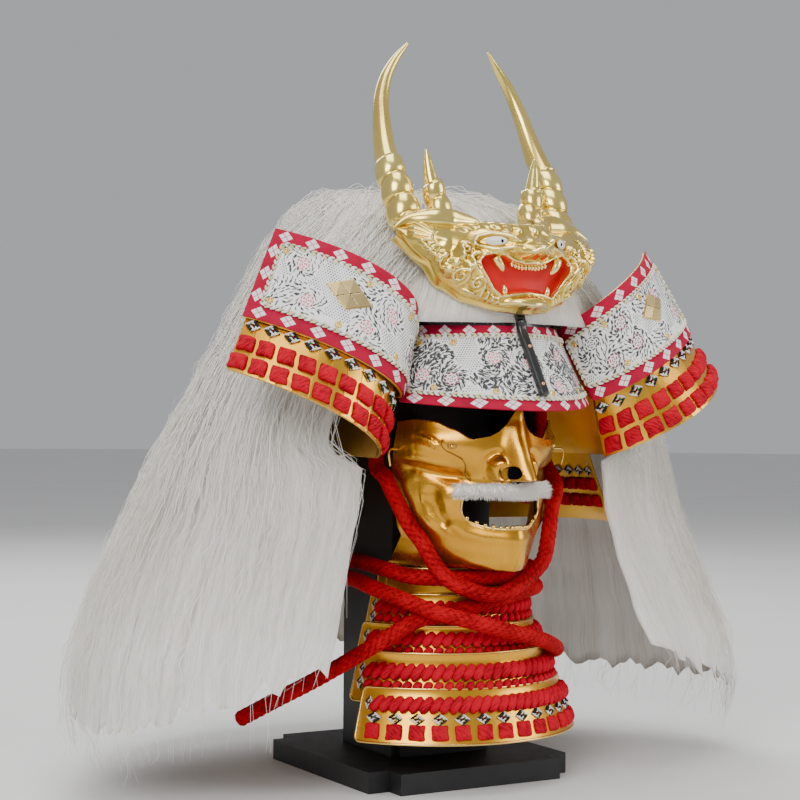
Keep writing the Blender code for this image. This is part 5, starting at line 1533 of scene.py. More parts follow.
def ropeRow(layout, depth, halfTall, size, base, start, end):
    # plump slanted strands side by side
    count = round((end - start) / size["pitch"])
    w = np.linspace(-1, 1, 9)
    s = start + (end - start) * (np.arange(count) + 0.5) / count
    draws = np.random.default_rng(round(depth * 1e5) + count)
    high = halfTall * draws.uniform(0.94, 1.04, count)
    bow = np.sin(w * math.pi / 2)
    along = s[:, None] + (size["lean"] * halfTall / 0.0073 * bow)[None]
    down = depth - high[:, None] * w[None]
    lift = base + size["radius"] * min(1, halfTall / 0.0058) * (0.1 + 0.62 * (1 - w**4))[None] + 0 * along
    lift = lift + np.where(w > 0.2, -0.0006, 0.0004)[None]
    paths = layOn(layout, along, down, lift)
    ups = layOn(layout, along, down, lift + 0.001) - paths
    thick = size["radius"] * min(1, halfTall / 0.004) * np.sqrt(np.maximum(0.05, 1 - np.abs(w) ** 3.2))
    radii = np.broadcast_to(thick[None], paths.shape[:2])
    points, faces = manyTubes(paths, radii, 10, ups, flat=0.72)
    turn = np.arange(10) / 10 * 2 * math.pi * size["radius"]
    s, w = s[:, None, None], w[None, :, None]
    return points, faces, vector3(s + w * halfTall, turn[None, None] + w * 0.003 + 3 * s, 0.0).reshape(-1, 3)


def roundedBox(low, high, left, right, corner, step=0.0021):
    # a rounded outline in metres along and down a sheet
    made = []
    turn = np.linspace(0, math.pi / 2, 7)
    for x, y, start in (
        (right - corner, low + corner, -math.pi / 2), (right - corner, high - corner, 0),
        (left + corner, high - corner, math.pi / 2), (left + corner, low + corner, math.pi),
    ):
        made.append(np.stack([x + corner * np.cos(turn + start), y + corner * np.sin(turn + start)], 1))
    loop = np.concatenate(made + [made[0][:1]])
    along = runLength(loop)
    at = np.linspace(0, along[-1], round(along[-1] / step), endpoint=False)
    return np.stack([np.interp(at, along, loop[:, 0]), np.interp(at, along, loop[:, 1])], 1)


def makeThroatLame(number, size):
    rise = throat["raise"].get(number, 0.0)
    layout = makeLayout(throatSheet(size, rise), -1, 1)
    length, tall, wall = layout["length"], float(layout["tall"][250]), throat["wall"]
    corner, rim = throat["corner"], throat["rim"]
    columns, rows = 110, 18
    t = tall * (0.5 - 0.5 * np.cos(np.linspace(0, math.pi, rows)))
    near = np.minimum(t, tall - t)
    inset = corner - np.sqrt(np.maximum(0, corner**2 - np.maximum(0, corner - near) ** 2))
    s = inset[None] + (length - 2 * inset[None]) * np.linspace(0, 1, columns)[:, None]
    edge = np.minimum(np.minimum(s, length - s), near[None])
    lift = wall + 0.0007 * np.exp(-((edge / 0.0022) ** 2))
    points = layOn(layout, s, t[None] + 0 * s, lift)
    piece = addPiece(
        f"throatLame{number}", points, gridFaces(columns, rows, flip=True).tolist(), goldLacquer,
        "gold_lacquer",
        (f"throat_lame_{number}",),
    )
    thicken(piece, wall)
    loop = roundedBox(rim * 0.6, tall - rim * 0.6, rim * 0.6, length - rim * 0.6, corner)
    line = layOn(layout, loop[:, 0], loop[:, 1], wall + 0.0004)
    normals = layOn(layout, loop[:, 0], loop[:, 1], wall + 0.0014) - line
    points, faces = ringSweep(line, rim, 8, normals)
    addPiece(f"throatRim{number}", points, faces, brightGold, "gold_lacquer")
    if number == 1:
        loop = roundedBox(0.007, tall - 0.007, 0.012, length - 0.012, 0.004)
        line = layOn(layout, loop[:, 0], loop[:, 1], wall)
        points, faces = ringSweep(line, 0.0007, 8, normals[:1].repeat(len(line), 0))
        addPiece("throatMoulding", points, faces, goldLacquer, "gold_lacquer")
    rope, ends = throat["rope"], 0.0125
    parts, lays, knots = [], [], []
    for depth, halfTall in throat["rows"].get(number, ()):
        points, faces, lay = ropeRow(layout, depth, halfTall, rope, wall, ends, length - ends)
        parts.append((points, faces))
        lays.append(lay)
        knots += [(ends - 0.0042, depth), (length - ends + 0.0042, depth)]
    if parts:
        addPiece(f"throatRope{number}", *joined(parts), redBraid, "red_silk", (), np.concatenate(lays))
        addStitches(f"throatKnot{number}", layout, knots, 0.0046, 0.0075, wall)
    if number == 5:
        count = throat["squares"]
        along = [length / 2 + length * 0.95 * ((k + 0.45) / count - 0.5) for k in range(count)]
        centres = [(s, throat["squareDepth"]) for s in along]
        addPads("throatSquares", layout, centres, 0.0072, 0.0072, 0.0046, wall, ("throat_lacing",), cells=15)
        addStitches("throatStitch", layout, [(s, throat["stitchDepth"]) for s in along], 0.0074, 0.0056, wall)


for number, size in enumerate(throatSizes(), start=1):
    makeThroatLame(number, size)
print("throat guard made")

# crest: a beast's face between four horns
crest = {
    "halfWidth": 0.096, "chinZ": 0.399, "topZ": 0.478, "frontY": -0.1295, "sweep": 0.052, "bulge": 0.012,
    "lean": 0.038, "wall": 0.003,
    "outline": (
        # share of the half-width, lower edge, upper edge, backward lean
        (0.0, 0.0, 0.96, 0.1), (0.25, 0.03, 1.0, 0.6), (0.5, 0.12, 1.03, 1.0), (0.7, 0.27, 1.02, 0.6),
        (0.85, 0.5, 0.98, 0.4), (1.0, 0.78, 0.94, 0.2),
    ),
    "relief": (
        # share across, share up, width, height spread, lift
        (0.0, 0.68, 0.14, 0.12, 0.014), (0.0, 0.08, 0.26, 0.1, 0.008), (0.26, 0.8, 0.16, 0.12, 0.009),
        (0.58, 0.42, 0.16, 0.16, 0.008), (0.84, 0.55, 0.14, 0.16, 0.01), (0.0, 0.4, 0.34, 0.2, -0.008),
    ),
    "mouth": (
        (0.0, 0.515), (0.08, 0.51), (0.16, 0.535), (0.25, 0.59), (0.34, 0.612), (0.42, 0.59), (0.455, 0.535),
        (0.44, 0.47), (0.38, 0.385), (0.315, 0.27), (0.25, 0.205), (0.14, 0.235), (0.0, 0.25),
    ),
    "bumps": (
        # share across, share up, half-width and half-height in metres, turn, lift, sharpness
        (0.0, 0.65, 0.012, 0.006, 0.0, 0.0085, 3), (0.105, 0.618, 0.0055, 0.0042, 0.25, 0.005, 3),
        (0.048, 0.588, 0.002, 0.0016, 0.0, -0.004, 2), (0.0, 0.74, 0.005, 0.007, 0.0, 0.0045, 2),
        (0.0, 0.135, 0.0185, 0.0054, 0.0, 0.0066, 6), (0.17, 0.7, 0.006, 0.0045, -0.4, 0.0034, 2),
        (0.34, 0.755, 0.011, 0.0056, 0.1, -0.0022, 4), (0.09, 0.905, 0.0036, 0.0036, 0.0, 0.0052, 3),
        (0.165, 0.93, 0.0038, 0.0038, 0.0, 0.0056, 3), (0.245, 0.945, 0.004, 0.004, 0.0, 0.006, 3),
        (0.325, 0.95, 0.004, 0.004, 0.0, 0.006, 3), (0.405, 0.945, 0.0038, 0.0038, 0.0, 0.0056, 3),
        (0.48, 0.915, 0.0036, 0.0036, 0.0, 0.005, 3), (0.2, 0.865, 0.003, 0.003, 0.0, 0.004, 3),
        (0.89, 0.74, 0.003, 0.003, 0.0, 0.005, 3), (0.865, 0.668, 0.0032, 0.0032, 0.0, 0.0052, 3),
        (0.825, 0.605, 0.0032, 0.0032, 0.0, 0.0052, 3), (0.775, 0.56, 0.0032, 0.0032, 0.0, 0.005, 3),
        (0.725, 0.61, 0.003, 0.003, 0.0, 0.0046, 3), (0.79, 0.49, 0.0036, 0.0036, 0.0, 0.0054, 3),
        (0.715, 0.45, 0.0038, 0.0038, 0.0, 0.0054, 3), (0.655, 0.53, 0.0036, 0.0036, 0.0, 0.0048, 3),
        (0.64, 0.27, 0.0036, 0.0036, 0.0, 0.005, 3), (0.52, 0.195, 0.009, 0.0034, 0.45, 0.0056, 4),
        (0.61, 0.61, 0.004, 0.0036, 0.0, 0.0046, 3), (0.545, 0.51, 0.0042, 0.006, 0.3, 0.004, 2),
        (0.27, 0.69, 0.01, 0.0028, 0.05, 0.0026, 2),
    ),
    "spirals": (
        # share across, share up, radius, lift
        (0.625, 0.385, 0.0074, 0.0068), (0.475, 0.31, 0.0064, 0.006), (0.56, 0.68, 0.0062, 0.005),
    ),
    "ridges": (
        # line of share across and share up, width, lift
        (((0.19, 0.795), (0.27, 0.835), (0.36, 0.85), (0.45, 0.815), (0.5, 0.75)), 0.0026, 0.006),
        (((0.22, 0.69), (0.31, 0.672), (0.42, 0.69), (0.5, 0.72)), 0.0018, 0.0032),
        (((0.405, 0.275), (0.425, 0.19), (0.41, 0.11)), 0.0014, 0.0046),
        (((0.365, 0.225), (0.38, 0.15), (0.365, 0.085)), 0.0014, 0.0046),
        (((0.325, 0.18), (0.34, 0.12), (0.325, 0.07)), 0.0014, 0.0044),
        (((0.285, 0.165), (0.295, 0.1), (0.285, 0.06)), 0.0013, 0.0038),
        (((0.48, 0.64), (0.535, 0.59), (0.525, 0.5), (0.47, 0.41), (0.41, 0.32)), 0.0024, 0.0044),
        (((0.56, 0.72), (0.605, 0.66), (0.6, 0.57), (0.56, 0.45)), 0.002, 0.003),
        (((0.2, 0.64), (0.28, 0.65), (0.38, 0.655), (0.47, 0.625)), 0.0018, 0.0032),
        (((0.05, 0.79), (0.12, 0.77), (0.2, 0.76)), 0.0015, 0.002),
        (((0.0, 0.96), (0.18, 0.965), (0.34, 0.985), (0.5, 0.99)), 0.002, 0.0024),
    ),
    "collar": (
        (1.02, 0.9, 0.002), (0.86, 1.0, 0.006), (0.66, 1.03, 0.01), (0.46, 1.02, 0.01), (0.34, 0.97, 0.006),
    ),
    "ear": (0.7, 0.77, 0.0065, 0.023, 11.0),
    "horns": {
        "large": (0.0755, -0.0565, 0.4766, 0.1644, 0.0345, 0.0605),
        "small": (0.044, -0.06, 0.4812, 0.0593, -0.011, 0.0085),
    },
    "coils": {
        # share of the horn they reach to, how many, radius at the foot and at the last one
        "large": (0.335, 3.0, 0.0158, 0.0132), "small": (0.53, 2.0, 0.0118, 0.0096),
    },
    "hornTables": {
        # share of the way up, inward share, backward share, radius
        "large": (
            (0.0, 0.0, 0.0, 0.0125), (0.06, -0.03, 0.1, 0.0135), (0.11, -0.05, 0.16, 0.0105),
            (0.17, -0.07, 0.23, 0.0132), (0.22, -0.1, 0.3, 0.0102), (0.27, -0.11, 0.37, 0.012),
            (0.34, -0.11, 0.49, 0.0104), (0.44, -0.05, 0.64, 0.0092), (0.55, 0.02, 0.77, 0.0079),
            (0.67, 0.12, 0.89, 0.0068), (0.8, 0.34, 0.98, 0.0054), (0.91, 0.66, 1.02, 0.0036),
            (1.0, 1.0, 1.0, 0.001),
        ),
        "small": (
            (0.0, 0.0, 0.0, 0.01), (0.1, 0.1, 0.15, 0.011), (0.22, 0.26, 0.35, 0.0085),
            (0.34, 0.42, 0.5, 0.0098), (0.46, 0.56, 0.64, 0.007), (0.64, 0.74, 0.8, 0.0056),
            (0.84, 0.9, 0.93, 0.0036), (1.0, 1.0, 1.0, 0.001),
        ),
    },
}


def crestPlace(u, up, lift=0.0):
    # the crest's front at a share across and a share up, with the same large forms as the solid
    u, up = np.broadcast_arrays(asArray(u), asArray(up))
    reach = np.abs(u)
    low, high = readTable(crest["outline"], reach, 1), readTable(crest["outline"], reach, 2)
    v = np.clip((high - up) / (high - low), 0, 1)
    forward = np.sin(math.pi * v) ** 0.6 * crest["bulge"]
    for across, height, wide, tall, raised in crest["relief"]:
        forward = forward + raised * np.exp(-(((reach - across) / wide) ** 2) - ((up - height) / tall) ** 2)
    lean = readTable(crest["outline"], reach, 3) * crest["lean"] * np.maximum(0, (up - 0.7) / 0.33) ** 1.5
    y = crest["frontY"] + crest["bulge"] + crest["sweep"] * reach**1.8 - forward - lift + lean
    return vector3(crest["halfWidth"] * u, y, crest["chinZ"] + (crest["topZ"] - crest["chinZ"]) * up)


def outlineAway(x, y, outline):
    # distance to an open line, in metres
    nearest = np.full(x.shape, 9.0)
    for a, b in zip(outline, outline[1:]):
        run = b - a
        t = np.clip(((x - a[0]) * run[0] + (y - a[1]) * run[1]) / (run @ run), 0, 1)
        nearest = np.minimum(nearest, np.hypot(x - a[0] - run[0] * t, y - a[1] - run[1] * t))
    return nearest


def crestScale(line):
    return asArray(line) * [crest["halfWidth"], crest["topZ"] - crest["chinZ"]]


def crestFine(u, up):
    # the chased detail over the large forms
    reach = np.abs(u)
    x, y = reach * crest["halfWidth"], up * (crest["topZ"] - crest["chinZ"])
    lift = np.zeros(x.shape)
    for across, height, wide, tall, turn, raised, power in crest["bumps"]:
        cx, cy = crestScale((across, height))
        dx, dy = x - cx, y - cy
        a, b = dx * math.cos(turn) + dy * math.sin(turn), dy * math.cos(turn) - dx * math.sin(turn)
        lift = lift + raised * np.exp(-(((a / wide) ** 2 + (b / tall) ** 2) ** (power / 2)))
    for across, height, radius, raised in crest["spirals"]:
        cx, cy = crestScale((across, height))
        away, turn = np.hypot(x - cx, y - cy), np.arctan2(y - cy, x - cx)
        coil = 0.5 + 0.5 * np.cos(2 * math.pi * away / (radius * 0.62) - turn)
        lift = lift + raised * np.exp(-((away / radius) ** 4)) * (0.35 + 0.65 * coil)
    for line, width, raised in crest["ridges"]:
        lift = lift + raised * np.exp(-((outlineAway(x, y, crestScale(line)) / width) ** 2))
    # the ears: fans of radial ribs that open outward
    across, height, inner, outer, ribs = crest["ear"]
    cx, cy = crestScale((across, height))
    away, turn = np.hypot(x - cx, y - cy), np.arctan2(y - cy, x - cx)
    fan = np.exp(-(((turn - 0.25) / 1.15) ** 4))
    ring = np.clip((away - inner) / 0.002, 0, 1) * np.clip((outer - away) / 0.002, 0, 1)
    lift = lift + fan * ring * (0.003 + 0.004 * np.abs(np.cos(turn * ribs)) * (away / outer))
    lift = lift + 0.0035 * np.exp(-((away / (inner * 0.75)) ** 2))
    # the rim of the mouth stands out and its inside is sunk
    mouth = crestScale(crest["mouth"])
    away = outlineAway(x, y, mouth)
    loop = np.concatenate([mouth, (mouth * [-1, 1])[::-1]])
    inside = insideOutline(np.stack([x.ravel(), y.ravel()], 1), loop).reshape(x.shape)
    sunk = np.where(inside, np.clip(away / 0.0026, 0, 1) ** 0.7, 0)
    beyond = np.where(inside, -away, away)
    lift = np.where(inside, 0, lift) + 0.0044 * np.exp(-(((beyond - 0.0016) / 0.0015) ** 2)) - 0.0058 * sunk
    # everything fades on the flat flange along the lower edge
    low, high = readTable(crest["outline"], reach, 1), readTable(crest["outline"], reach, 2)
    room = (up - low) * (crest["topZ"] - crest["chinZ"]) / np.sqrt(1 + (reach * 1.6) ** 2)
    flange = np.clip((room - 0.0035) / 0.0022, 0, 1)
    flange = flange * flange * (3 - 2 * flange)
    top = np.clip((high - up) * (crest["topZ"] - crest["chinZ"]) / 0.002, 0, 1)
    return lift * flange * (0.4 + 0.6 * top) - 0.0028 * (1 - flange), inside


def spike(start, end, radius, bend, sides=12, stations=9):
    # a curved tooth
    t = np.linspace(0, 1, stations)[:, None]
    path = asArray(start) + (asArray(end) - asArray(start)) * t + asArray(bend) * np.sin(math.pi * t)
    radii = radius * (np.sqrt(1 - t[:, 0] ** 1.6 * 0.985))
    return sweep(path, radii, sides)


def makeCrest():
    rows, columns = 222, 92
    u = np.linspace(-1, 1, rows)
    low, high = readTable(crest["outline"], np.abs(u), 1), readTable(crest["outline"], np.abs(u), 2)
    up = high[:, None] + (low - high)[:, None] * np.linspace(0, 1, columns)[None]
    u2 = u[:, None] + 0 * up
    fine, inside = crestFine(u2, up)
    points = crestPlace(u2, up, fine)
    faces = gridFaces(rows, columns, flip=True)
    piece = addPiece("crestFace", points, faces.tolist(), crestGold, "polished_gold", ("crest_face",))
    thicken(piece, crest["wall"])
    marked = inside.ravel()[faces].all(1)
    redPoints, redFaces = keepUsed(crestPlace(u2, up, fine + 0.0004).reshape(-1, 3), faces[marked])
    thicken(
        addPiece("crestMouth", redPoints, redFaces.tolist(), redEnamel, "red_enamel", ("crest_mouth",)),
        0.0008,
    )
    teeth, whites, pupils = [], [], []
    for side in (-1, 1):
        root, tip = crestPlace(side * 0.32, 0.585, 0.0005), crestPlace(side * 0.235, 0.44, 0.0005)
        teeth.append(spike(root, tip, 0.0038, (0, -0.0022, -0.001)))
        root, tip = crestPlace(side * 0.215, 0.225, -0.0005), crestPlace(side * 0.225, 0.32, -0.0005)
        teeth.append(spike(root, tip, 0.0024, (0, -0.0012, 0)))
        eye = crestPlace(side * 0.335, 0.755, 0.0006)
        across = crestPlace(side * 0.375, 0.755, 0.0006) - crestPlace(side * 0.295, 0.755, 0.0006)
        points, faces = ball([0, 0, 0], (0.0096, 0.0022, 0.0038), 20)
        turn = math.atan2(across[1], across[0])
        spin = asArray([[math.cos(turn), math.sin(turn), 0], [-math.sin(turn), math.cos(turn), 0], [0, 0, 1]])
        whites.append((points @ spin + eye, faces))
        pupil = crestPlace(side * 0.3, 0.752, 0.0026)
        pupils.append(ball(pupil, (0.0013, 0.0009, 0.0015), 12))
    for k in range(11):
        x = (k - 5) * 0.034
        y = float(readLine(crest["mouth"][:4], abs(x)))
        place = crestPlace(x, y - 0.022, 0.0012)
        teeth.append(ball(place, (0.00145, 0.0014, 0.0021), 10))
    addPiece("crestTeeth", *joined(teeth), crestGold, "polished_gold")
    addPiece("crestEyes", *joined(whites), whiteEnamel, "white_hair")
    addPiece("crestPupils", *joined(pupils), deepBlack, "black_lacquer")


def makeHorn(name, label, side):
    baseX, baseY, baseZ, rise, inward, backward = crest["horns"][name]
    table = crest["hornTables"][name]
    route = [
        ((baseX - inward * row[1]) * side, baseY + backward * row[2], baseZ + rise * row[0]) for row in table
    ]
    path, _ = smoothPath(route, 0.0009)
    height = (path[:, 2] - path[0, 2]) / (path[-1, 2] - path[0, 2])
    smooth = readLine(table, height, 3)
    reach, coils, base, top = crest["coils"][name]
    sides = 32
    angle = roundTurn(sides)
    coiled = np.clip((reach - height[:, None] + 0.12 * np.cos(angle[None]) * reach / coils) / 0.012, 0, 1)
    phase = height[:, None] / reach * coils + 0.2 * side * np.sin(angle[None] + 0.4)
    bead = np.abs(np.sin(math.pi * phase)) ** 0.5
    thick = np.interp(height, [0, reach], [base, top])[:, None]
    radii = coiled * thick * (1 - 0.22 * (1 - bead)) + (1 - coiled) * smooth[:, None]
    radii = np.maximum(radii, 0.0007)
    radii[-1] *= 0.4
    points, faces = sweep(path, radii, sides, reference=asArray([0, -1.0, 0.3]))
    title = f"crestHorn{name.capitalize()}{label.capitalize()}"
    addPiece(title, points, faces, crestGold, "polished_gold", (f"crest_horn_{name}_{label}",))


def makeCollar(side):
    # a smooth leaf that wraps the feet of both horns
    places = [crestPlace(side * u, up, lift) for u, up, lift in crest["collar"]]
    path, _ = smoothPath(places, 0.0008)
    t = np.linspace(0, 1, len(path))
    radii = 0.009 * np.sin(math.pi * np.clip(t, 0.012, 0.99) ** 1.5) ** 0.6
    return sweep(path, radii, 24, flat=0.62, reference=asArray([0, -1.0, 0.6]))


def makeStem():
    # a flat black rod that stands on the visor, held by two copper rivets
    half = asArray([0.5])
    normal = frontNormal(visorSheet, half * 0, half)[0]
    rod = 0.0036 + 0.0008 + 0.001
    foot, knee = [visorSheet(half * 0, half * 0 + v)[0] + normal * rod for v in (0.86, 0.12)]
    backY = crest["frontY"] + crest["bulge"] + 0.0036
    route = [
        foot, foot + (knee - foot) * 0.5, knee, (0, knee[1] + (backY - knee[1]) * 0.4, knee[2] + 0.01),
        (0, backY, crest["chinZ"] - 0.004), (0, backY + 0.006, crest["chinZ"] + 0.012),
        (0, backY + 0.009, crest["chinZ"] + 0.04),
    ]
    path, _ = smoothPath(route, 0.001)
    angle = roundTurn(20)
    radius = 1 / (np.abs(np.cos(angle) / 0.004) ** 5 + np.abs(np.sin(angle) / 0.003) ** 5) ** 0.2
    points, faces = sweep(
        path, np.broadcast_to(radius, (len(path), 20)), 20, reference=asArray([0, -1.0, 0.15]),
    )
    addPiece("crestStem", points, faces, blackLacquer, "black_lacquer", ("crest_stem",))
    rivets = []
    for share in (0.14, 0.74):
        place = foot + (knee - foot) * share + normal * 0.003
        rivets.append(ball(place, (0.0017, 0.001, 0.0017), 14))
    addPiece("stemRivets", *joined(rivets), copper, "gold_lacquer")


def makeBowl():
    rows, columns = 96, 34
    turn = roundTurn(rows)[:, None]
    tilt = np.concatenate([[-0.06], np.linspace(0, math.pi / 2 * 0.985, columns - 1)])
    level = np.where(tilt < 0, 1, np.cos(tilt))
    z = np.where(tilt < 0, bowl["rimZ"] - 0.01, bowl["rimZ"] + bowl["rise"] * np.sin(np.maximum(tilt, 0)))
    points = ovalPoint(
        bowl["halfWidth"] * level, bowl["halfLength"] * level, bowl["centreY"], turn, z + 0 * turn,
    )
    faces = gridFaces(rows, columns, wrapRows=True).tolist()
    faces.append([i * columns + columns - 1 for i in range(rows)])
    piece = addPiece("helmetBowl", points, faces, blackLacquer, "black_lacquer", ("helmet_bowl",))
    thicken(piece, 0.002)


shadeSheet = {"halfWidth": 0.079, "halfLength": 0.084, "centreY": 0.012, "lowZ": 0.286, "from": 48, "to": 312}


def makeShadeSheet(size):
    # painted shade: a near-black cloth sheet hangs from the rim of the bowl behind the mask, standing in for
    # the shade inside the helmet
    turn = np.radians(np.linspace(size["from"], size["to"], 81))[:, None]
    topZ = bowl["rimZ"] + 0.004
    z = topZ - (topZ - size["lowZ"]) * np.linspace(0, 1, 12)[None]
    ripple = 0.0016 * np.sin(turn * 21) * (bowl["rimZ"] - z) / 0.1
    wide, deep = size["halfWidth"] + ripple, size["halfLength"] + ripple
    points = ovalPoint(wide, deep, size["centreY"], turn + 0 * z, z + 0 * turn)
    piece = addPiece(
        "helmetShadeSheet", points, gridFaces(81, 12, flip=True).tolist(), shadeSheetCloth, "black_lacquer",
    )
    thicken(piece, 0.0012)


# the last value, 1.0, gives the crest the full painted shade in the hollows of its chased relief
crestGold = goldFinish(
    "crestGold", (1.0, 0.76, 0.16), (0.88, 0.56, 0.065), (1.0, 0.92, 0.48), 0.2, 0.94, 0.01, 0.3, 1.0,
)
redEnamel = newFinish("redEnamel", 0.45, Base_Color=(0.7, 0.006, 0.004, 1), Specular_IOR_Level=0.3)[0]
whiteEnamel = newFinish("whiteEnamel", 0.25, Base_Color=(0.92, 0.89, 0.8, 1), Coat_Weight=0.4)[0]
copper = goldFinish("copper", (0.7, 0.27, 0.1), (0.5, 0.16, 0.05), (0.95, 0.5, 0.26), 0.25, 1.0, 0.03)


def blackFinish(name, roughness, coat):
    finish, tree, shader, place = newFinish(name, roughness, Coat_Weight=coat, Coat_Roughness=0.12)
    worn = addNoise(tree, place, 60.0, 6.0, 0.6)
    colourFrom(tree, shader, worn, [(0.3, (0.006, 0.006, 0.007)), (0.7, (0.014, 0.013, 0.013))])
    tree.links.new(addMath(tree, "MULTIPLY_ADD", worn, 0.25, roughness - 0.12), shader.inputs["Roughness"])
    return finish


blackLacquer = blackFinish("blackLacquer", 0.3, 0.5)
standBlack = blackFinish("standBlack", 0.55, 0.0)
# painted shade: the near-black cloth of the sheet behind the mask
shadeSheetCloth = clothFinish("shadeSheetCloth", (0.012, 0.012, 0.013), (0.006, 0.006, 0.007), 900.0)
makeCrest()
addPiece("crestCollars", *joined([makeCollar(side) for side in (-1, 1)]), crestGold, "polished_gold")
for side, label in ((-1, "right"), (1, "left")):
    for name in crest["horns"]:
        makeHorn(name, label, side)
makeStem()
makeBowl()
makeShadeSheet(shadeSheet)
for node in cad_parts:
    name = node["name"] if isinstance(node, dict) else node
    if name.startswith("stand_") and name in bpy.data.objects:
        for slot in bpy.data.objects[name].material_slots:
            slot.material = standBlack
print("crest, bowl and stand made")

# hair: a body under thousands of strands
hair = {
    "halfWidth": 0.327, "depth": 0.232, "topZ": 0.522, "floorZ": 0.063, "splitZ": 0.3915, "rimZ": 0.3935,
    "overBowl": 0.0042, "bodyDepth": 0.0065, "bodyWall": 0.006,
    "sections": (
        # height share, centre, half-width share, front depth share, back depth share, front edge
        (-0.06, 0.03, 0.97, 0.64, 1.15, 0.168), (0.0, 0.03, 1.0, 0.647, 1.165, 0.165),
        (0.1, 0.035, 0.985, 0.64, 1.1, 0.165), (0.2, 0.045, 0.935, 0.616, 0.95, 0.148),
        (0.3, 0.05, 0.875, 0.595, 0.8, 0.135), (0.39, 0.046, 0.815, 0.56, 0.735, 0.125),
        (0.465, 0.043, 0.77, 0.552, 0.695, 0.122), (0.485, 0.041, 0.758, 0.552, 0.68, 0.15),
        (0.52, 0.039, 0.73, 0.556, 0.655, 0.15), (0.61, 0.04, 0.65, 0.582, 0.635, 0.135),
        (0.714, 0.042, 0.56, 0.642, 0.6, 0.118), (0.78, 0.044, 0.515, 0.642, 0.58, 0.118),
        (0.855, 0.05, 0.45, 0.57, 0.545, 0.118), (0.93, 0.063, 0.355, 0.49, 0.48, 0.118),
        (0.98, 0.078, 0.262, 0.302, 0.365, 0.118), (1.0, 0.085, 0.02, 0.02, 0.02, 0.118),
    ),
    "hem": ((0.0, 0.094), (0.06, 0.062), (0.14, 0.04), (0.3, 0.04), (0.5, 0.066)),
}


def hairSection(z):
    share = (z - hair["floorZ"]) / (hair["topZ"] - hair["floorZ"])
    centre, wide, front, back, edge = [readTable(hair["sections"], share, column) for column in range(1, 6)]
    return centre, wide * hair["halfWidth"], front * hair["depth"], back * hair["depth"], edge


def hairPlace(turn, z):
    # the hair's outside at a turn from the front and a height, never inside the bowl
    turn, z = np.broadcast_arrays(asArray(turn), asArray(z))
    centre, wide, front, back, _ = hairSection(z)
    cosine, sine = np.cos(turn), np.sin(turn)
    power = np.where(cosine > 0, 2 - 0.3 * np.clip((z - hair["splitZ"]) / 0.04, 0, 1), 2)
    x = wide * np.abs(sine) ** (2 / power) * np.sign(sine)
    y = centre - np.where(cosine > 0, front, back) * np.abs(cosine) ** (2 / power) * np.sign(cosine)
    above = np.clip((z - bowl["rimZ"]) / bowl["rise"], 0, 1)
    level = np.sqrt(1 - above**2)
    gap = hair["overBowl"]
    ratio = np.hypot(
        x / (bowl["halfWidth"] * level + gap), (y - bowl["centreY"]) / (bowl["halfLength"] * level + gap),
    )
    grow = np.where((z > bowl["rimZ"]) & (ratio < 1) & (above < 0.9), 1 / np.maximum(ratio, 0.3), 1)
    return vector3(x * grow, bowl["centreY"] + (y - bowl["centreY"]) * grow, z)


def hairOutward(turn, z, step=0.004):
    across = hairPlace(turn + step * 5, z) - hairPlace(turn - step * 5, z)
    rise = (
        hairPlace(turn, np.minimum(z + step, hair["topZ"]))
        - hairPlace(turn, np.minimum(z, hair["topZ"] - step) - step)
    )
    return unit(np.cross(across, rise))


def hairTurn(share, z):
    # share -1 to 1: 0 at the front edge of either side, 1 at the back
    _, wide, _, _, edge = hairSection(np.minimum(z, hair["splitZ"]))
    first = np.arcsin(np.clip(edge / wide, 0, 1))
    eased = 0
    for step in np.linspace(-0.045, 0.045, 7):
        _, wide, _, _, edge = hairSection(np.minimum(z + step, hair["splitZ"]))
        eased = eased + np.arcsin(np.clip(edge / wide, 0, 1)) / 7
    first = first + (eased - first) * np.clip(np.abs(share) / 0.1 - 0.2, 0, 1)
    first = first * np.clip((hair["topZ"] - z) / (hair["topZ"] - hair["splitZ"]), 0, 1) ** 0.7
    return np.sign(share) * (first + (math.pi - first) * np.abs(share))


def hemHeight(share):
    return readTable(hair["hem"], np.abs(share) / 2, 1)


def clumpRipple(turn, z, draws):
    total = 0
    for waves, height in ((23, 1.0), (41, 0.9), (67, 0.8), (103, 0.6), (151, 0.4)):
        drift = draws.uniform(1, 3)
        bent = drift * np.sin(z * draws.uniform(9, 22) + draws.uniform(0, 6))
        total = total + height * np.sin(waves * turn + bent + draws.uniform(0, 6))
    return total


def makeHairMantle(draws):
    rows, columns = 220, 28
    share = np.concatenate(
        [-np.linspace(0.0001, 1, rows // 2), np.linspace(1, 0.0001, rows // 2)[1:]]
    )[:, None]
    rows = len(share)
    ragged = 0.012 + 0.01 * np.abs(np.sin(share * 61)) + draws.uniform(0, 0.012, (rows, 1))
    hem = hemHeight(share) + ragged
    z = (hair["splitZ"] + 0.012) + (hem - hair["splitZ"] - 0.012) * np.linspace(0, 1, columns)[None]
    turn = hairTurn(share + 0 * z, z)
    out = hairOutward(turn, z)
    lift = -hair["bodyDepth"] + 0.0011 * clumpRipple(turn, z, draws)
    outside = hairPlace(turn, z) + out * lift[..., None]
    wall = hair["bodyWall"] * (1 - 0.85 * np.linspace(0, 1, columns)[None] ** 3)
    wall = wall * (0.25 + 0.75 * np.clip(np.abs(share) / 0.03, 0, 1))
    inside = outside - out * wall[..., None]
    closeSheet("hairMantle", outside, inside, ("hair_mantle",), share, z)


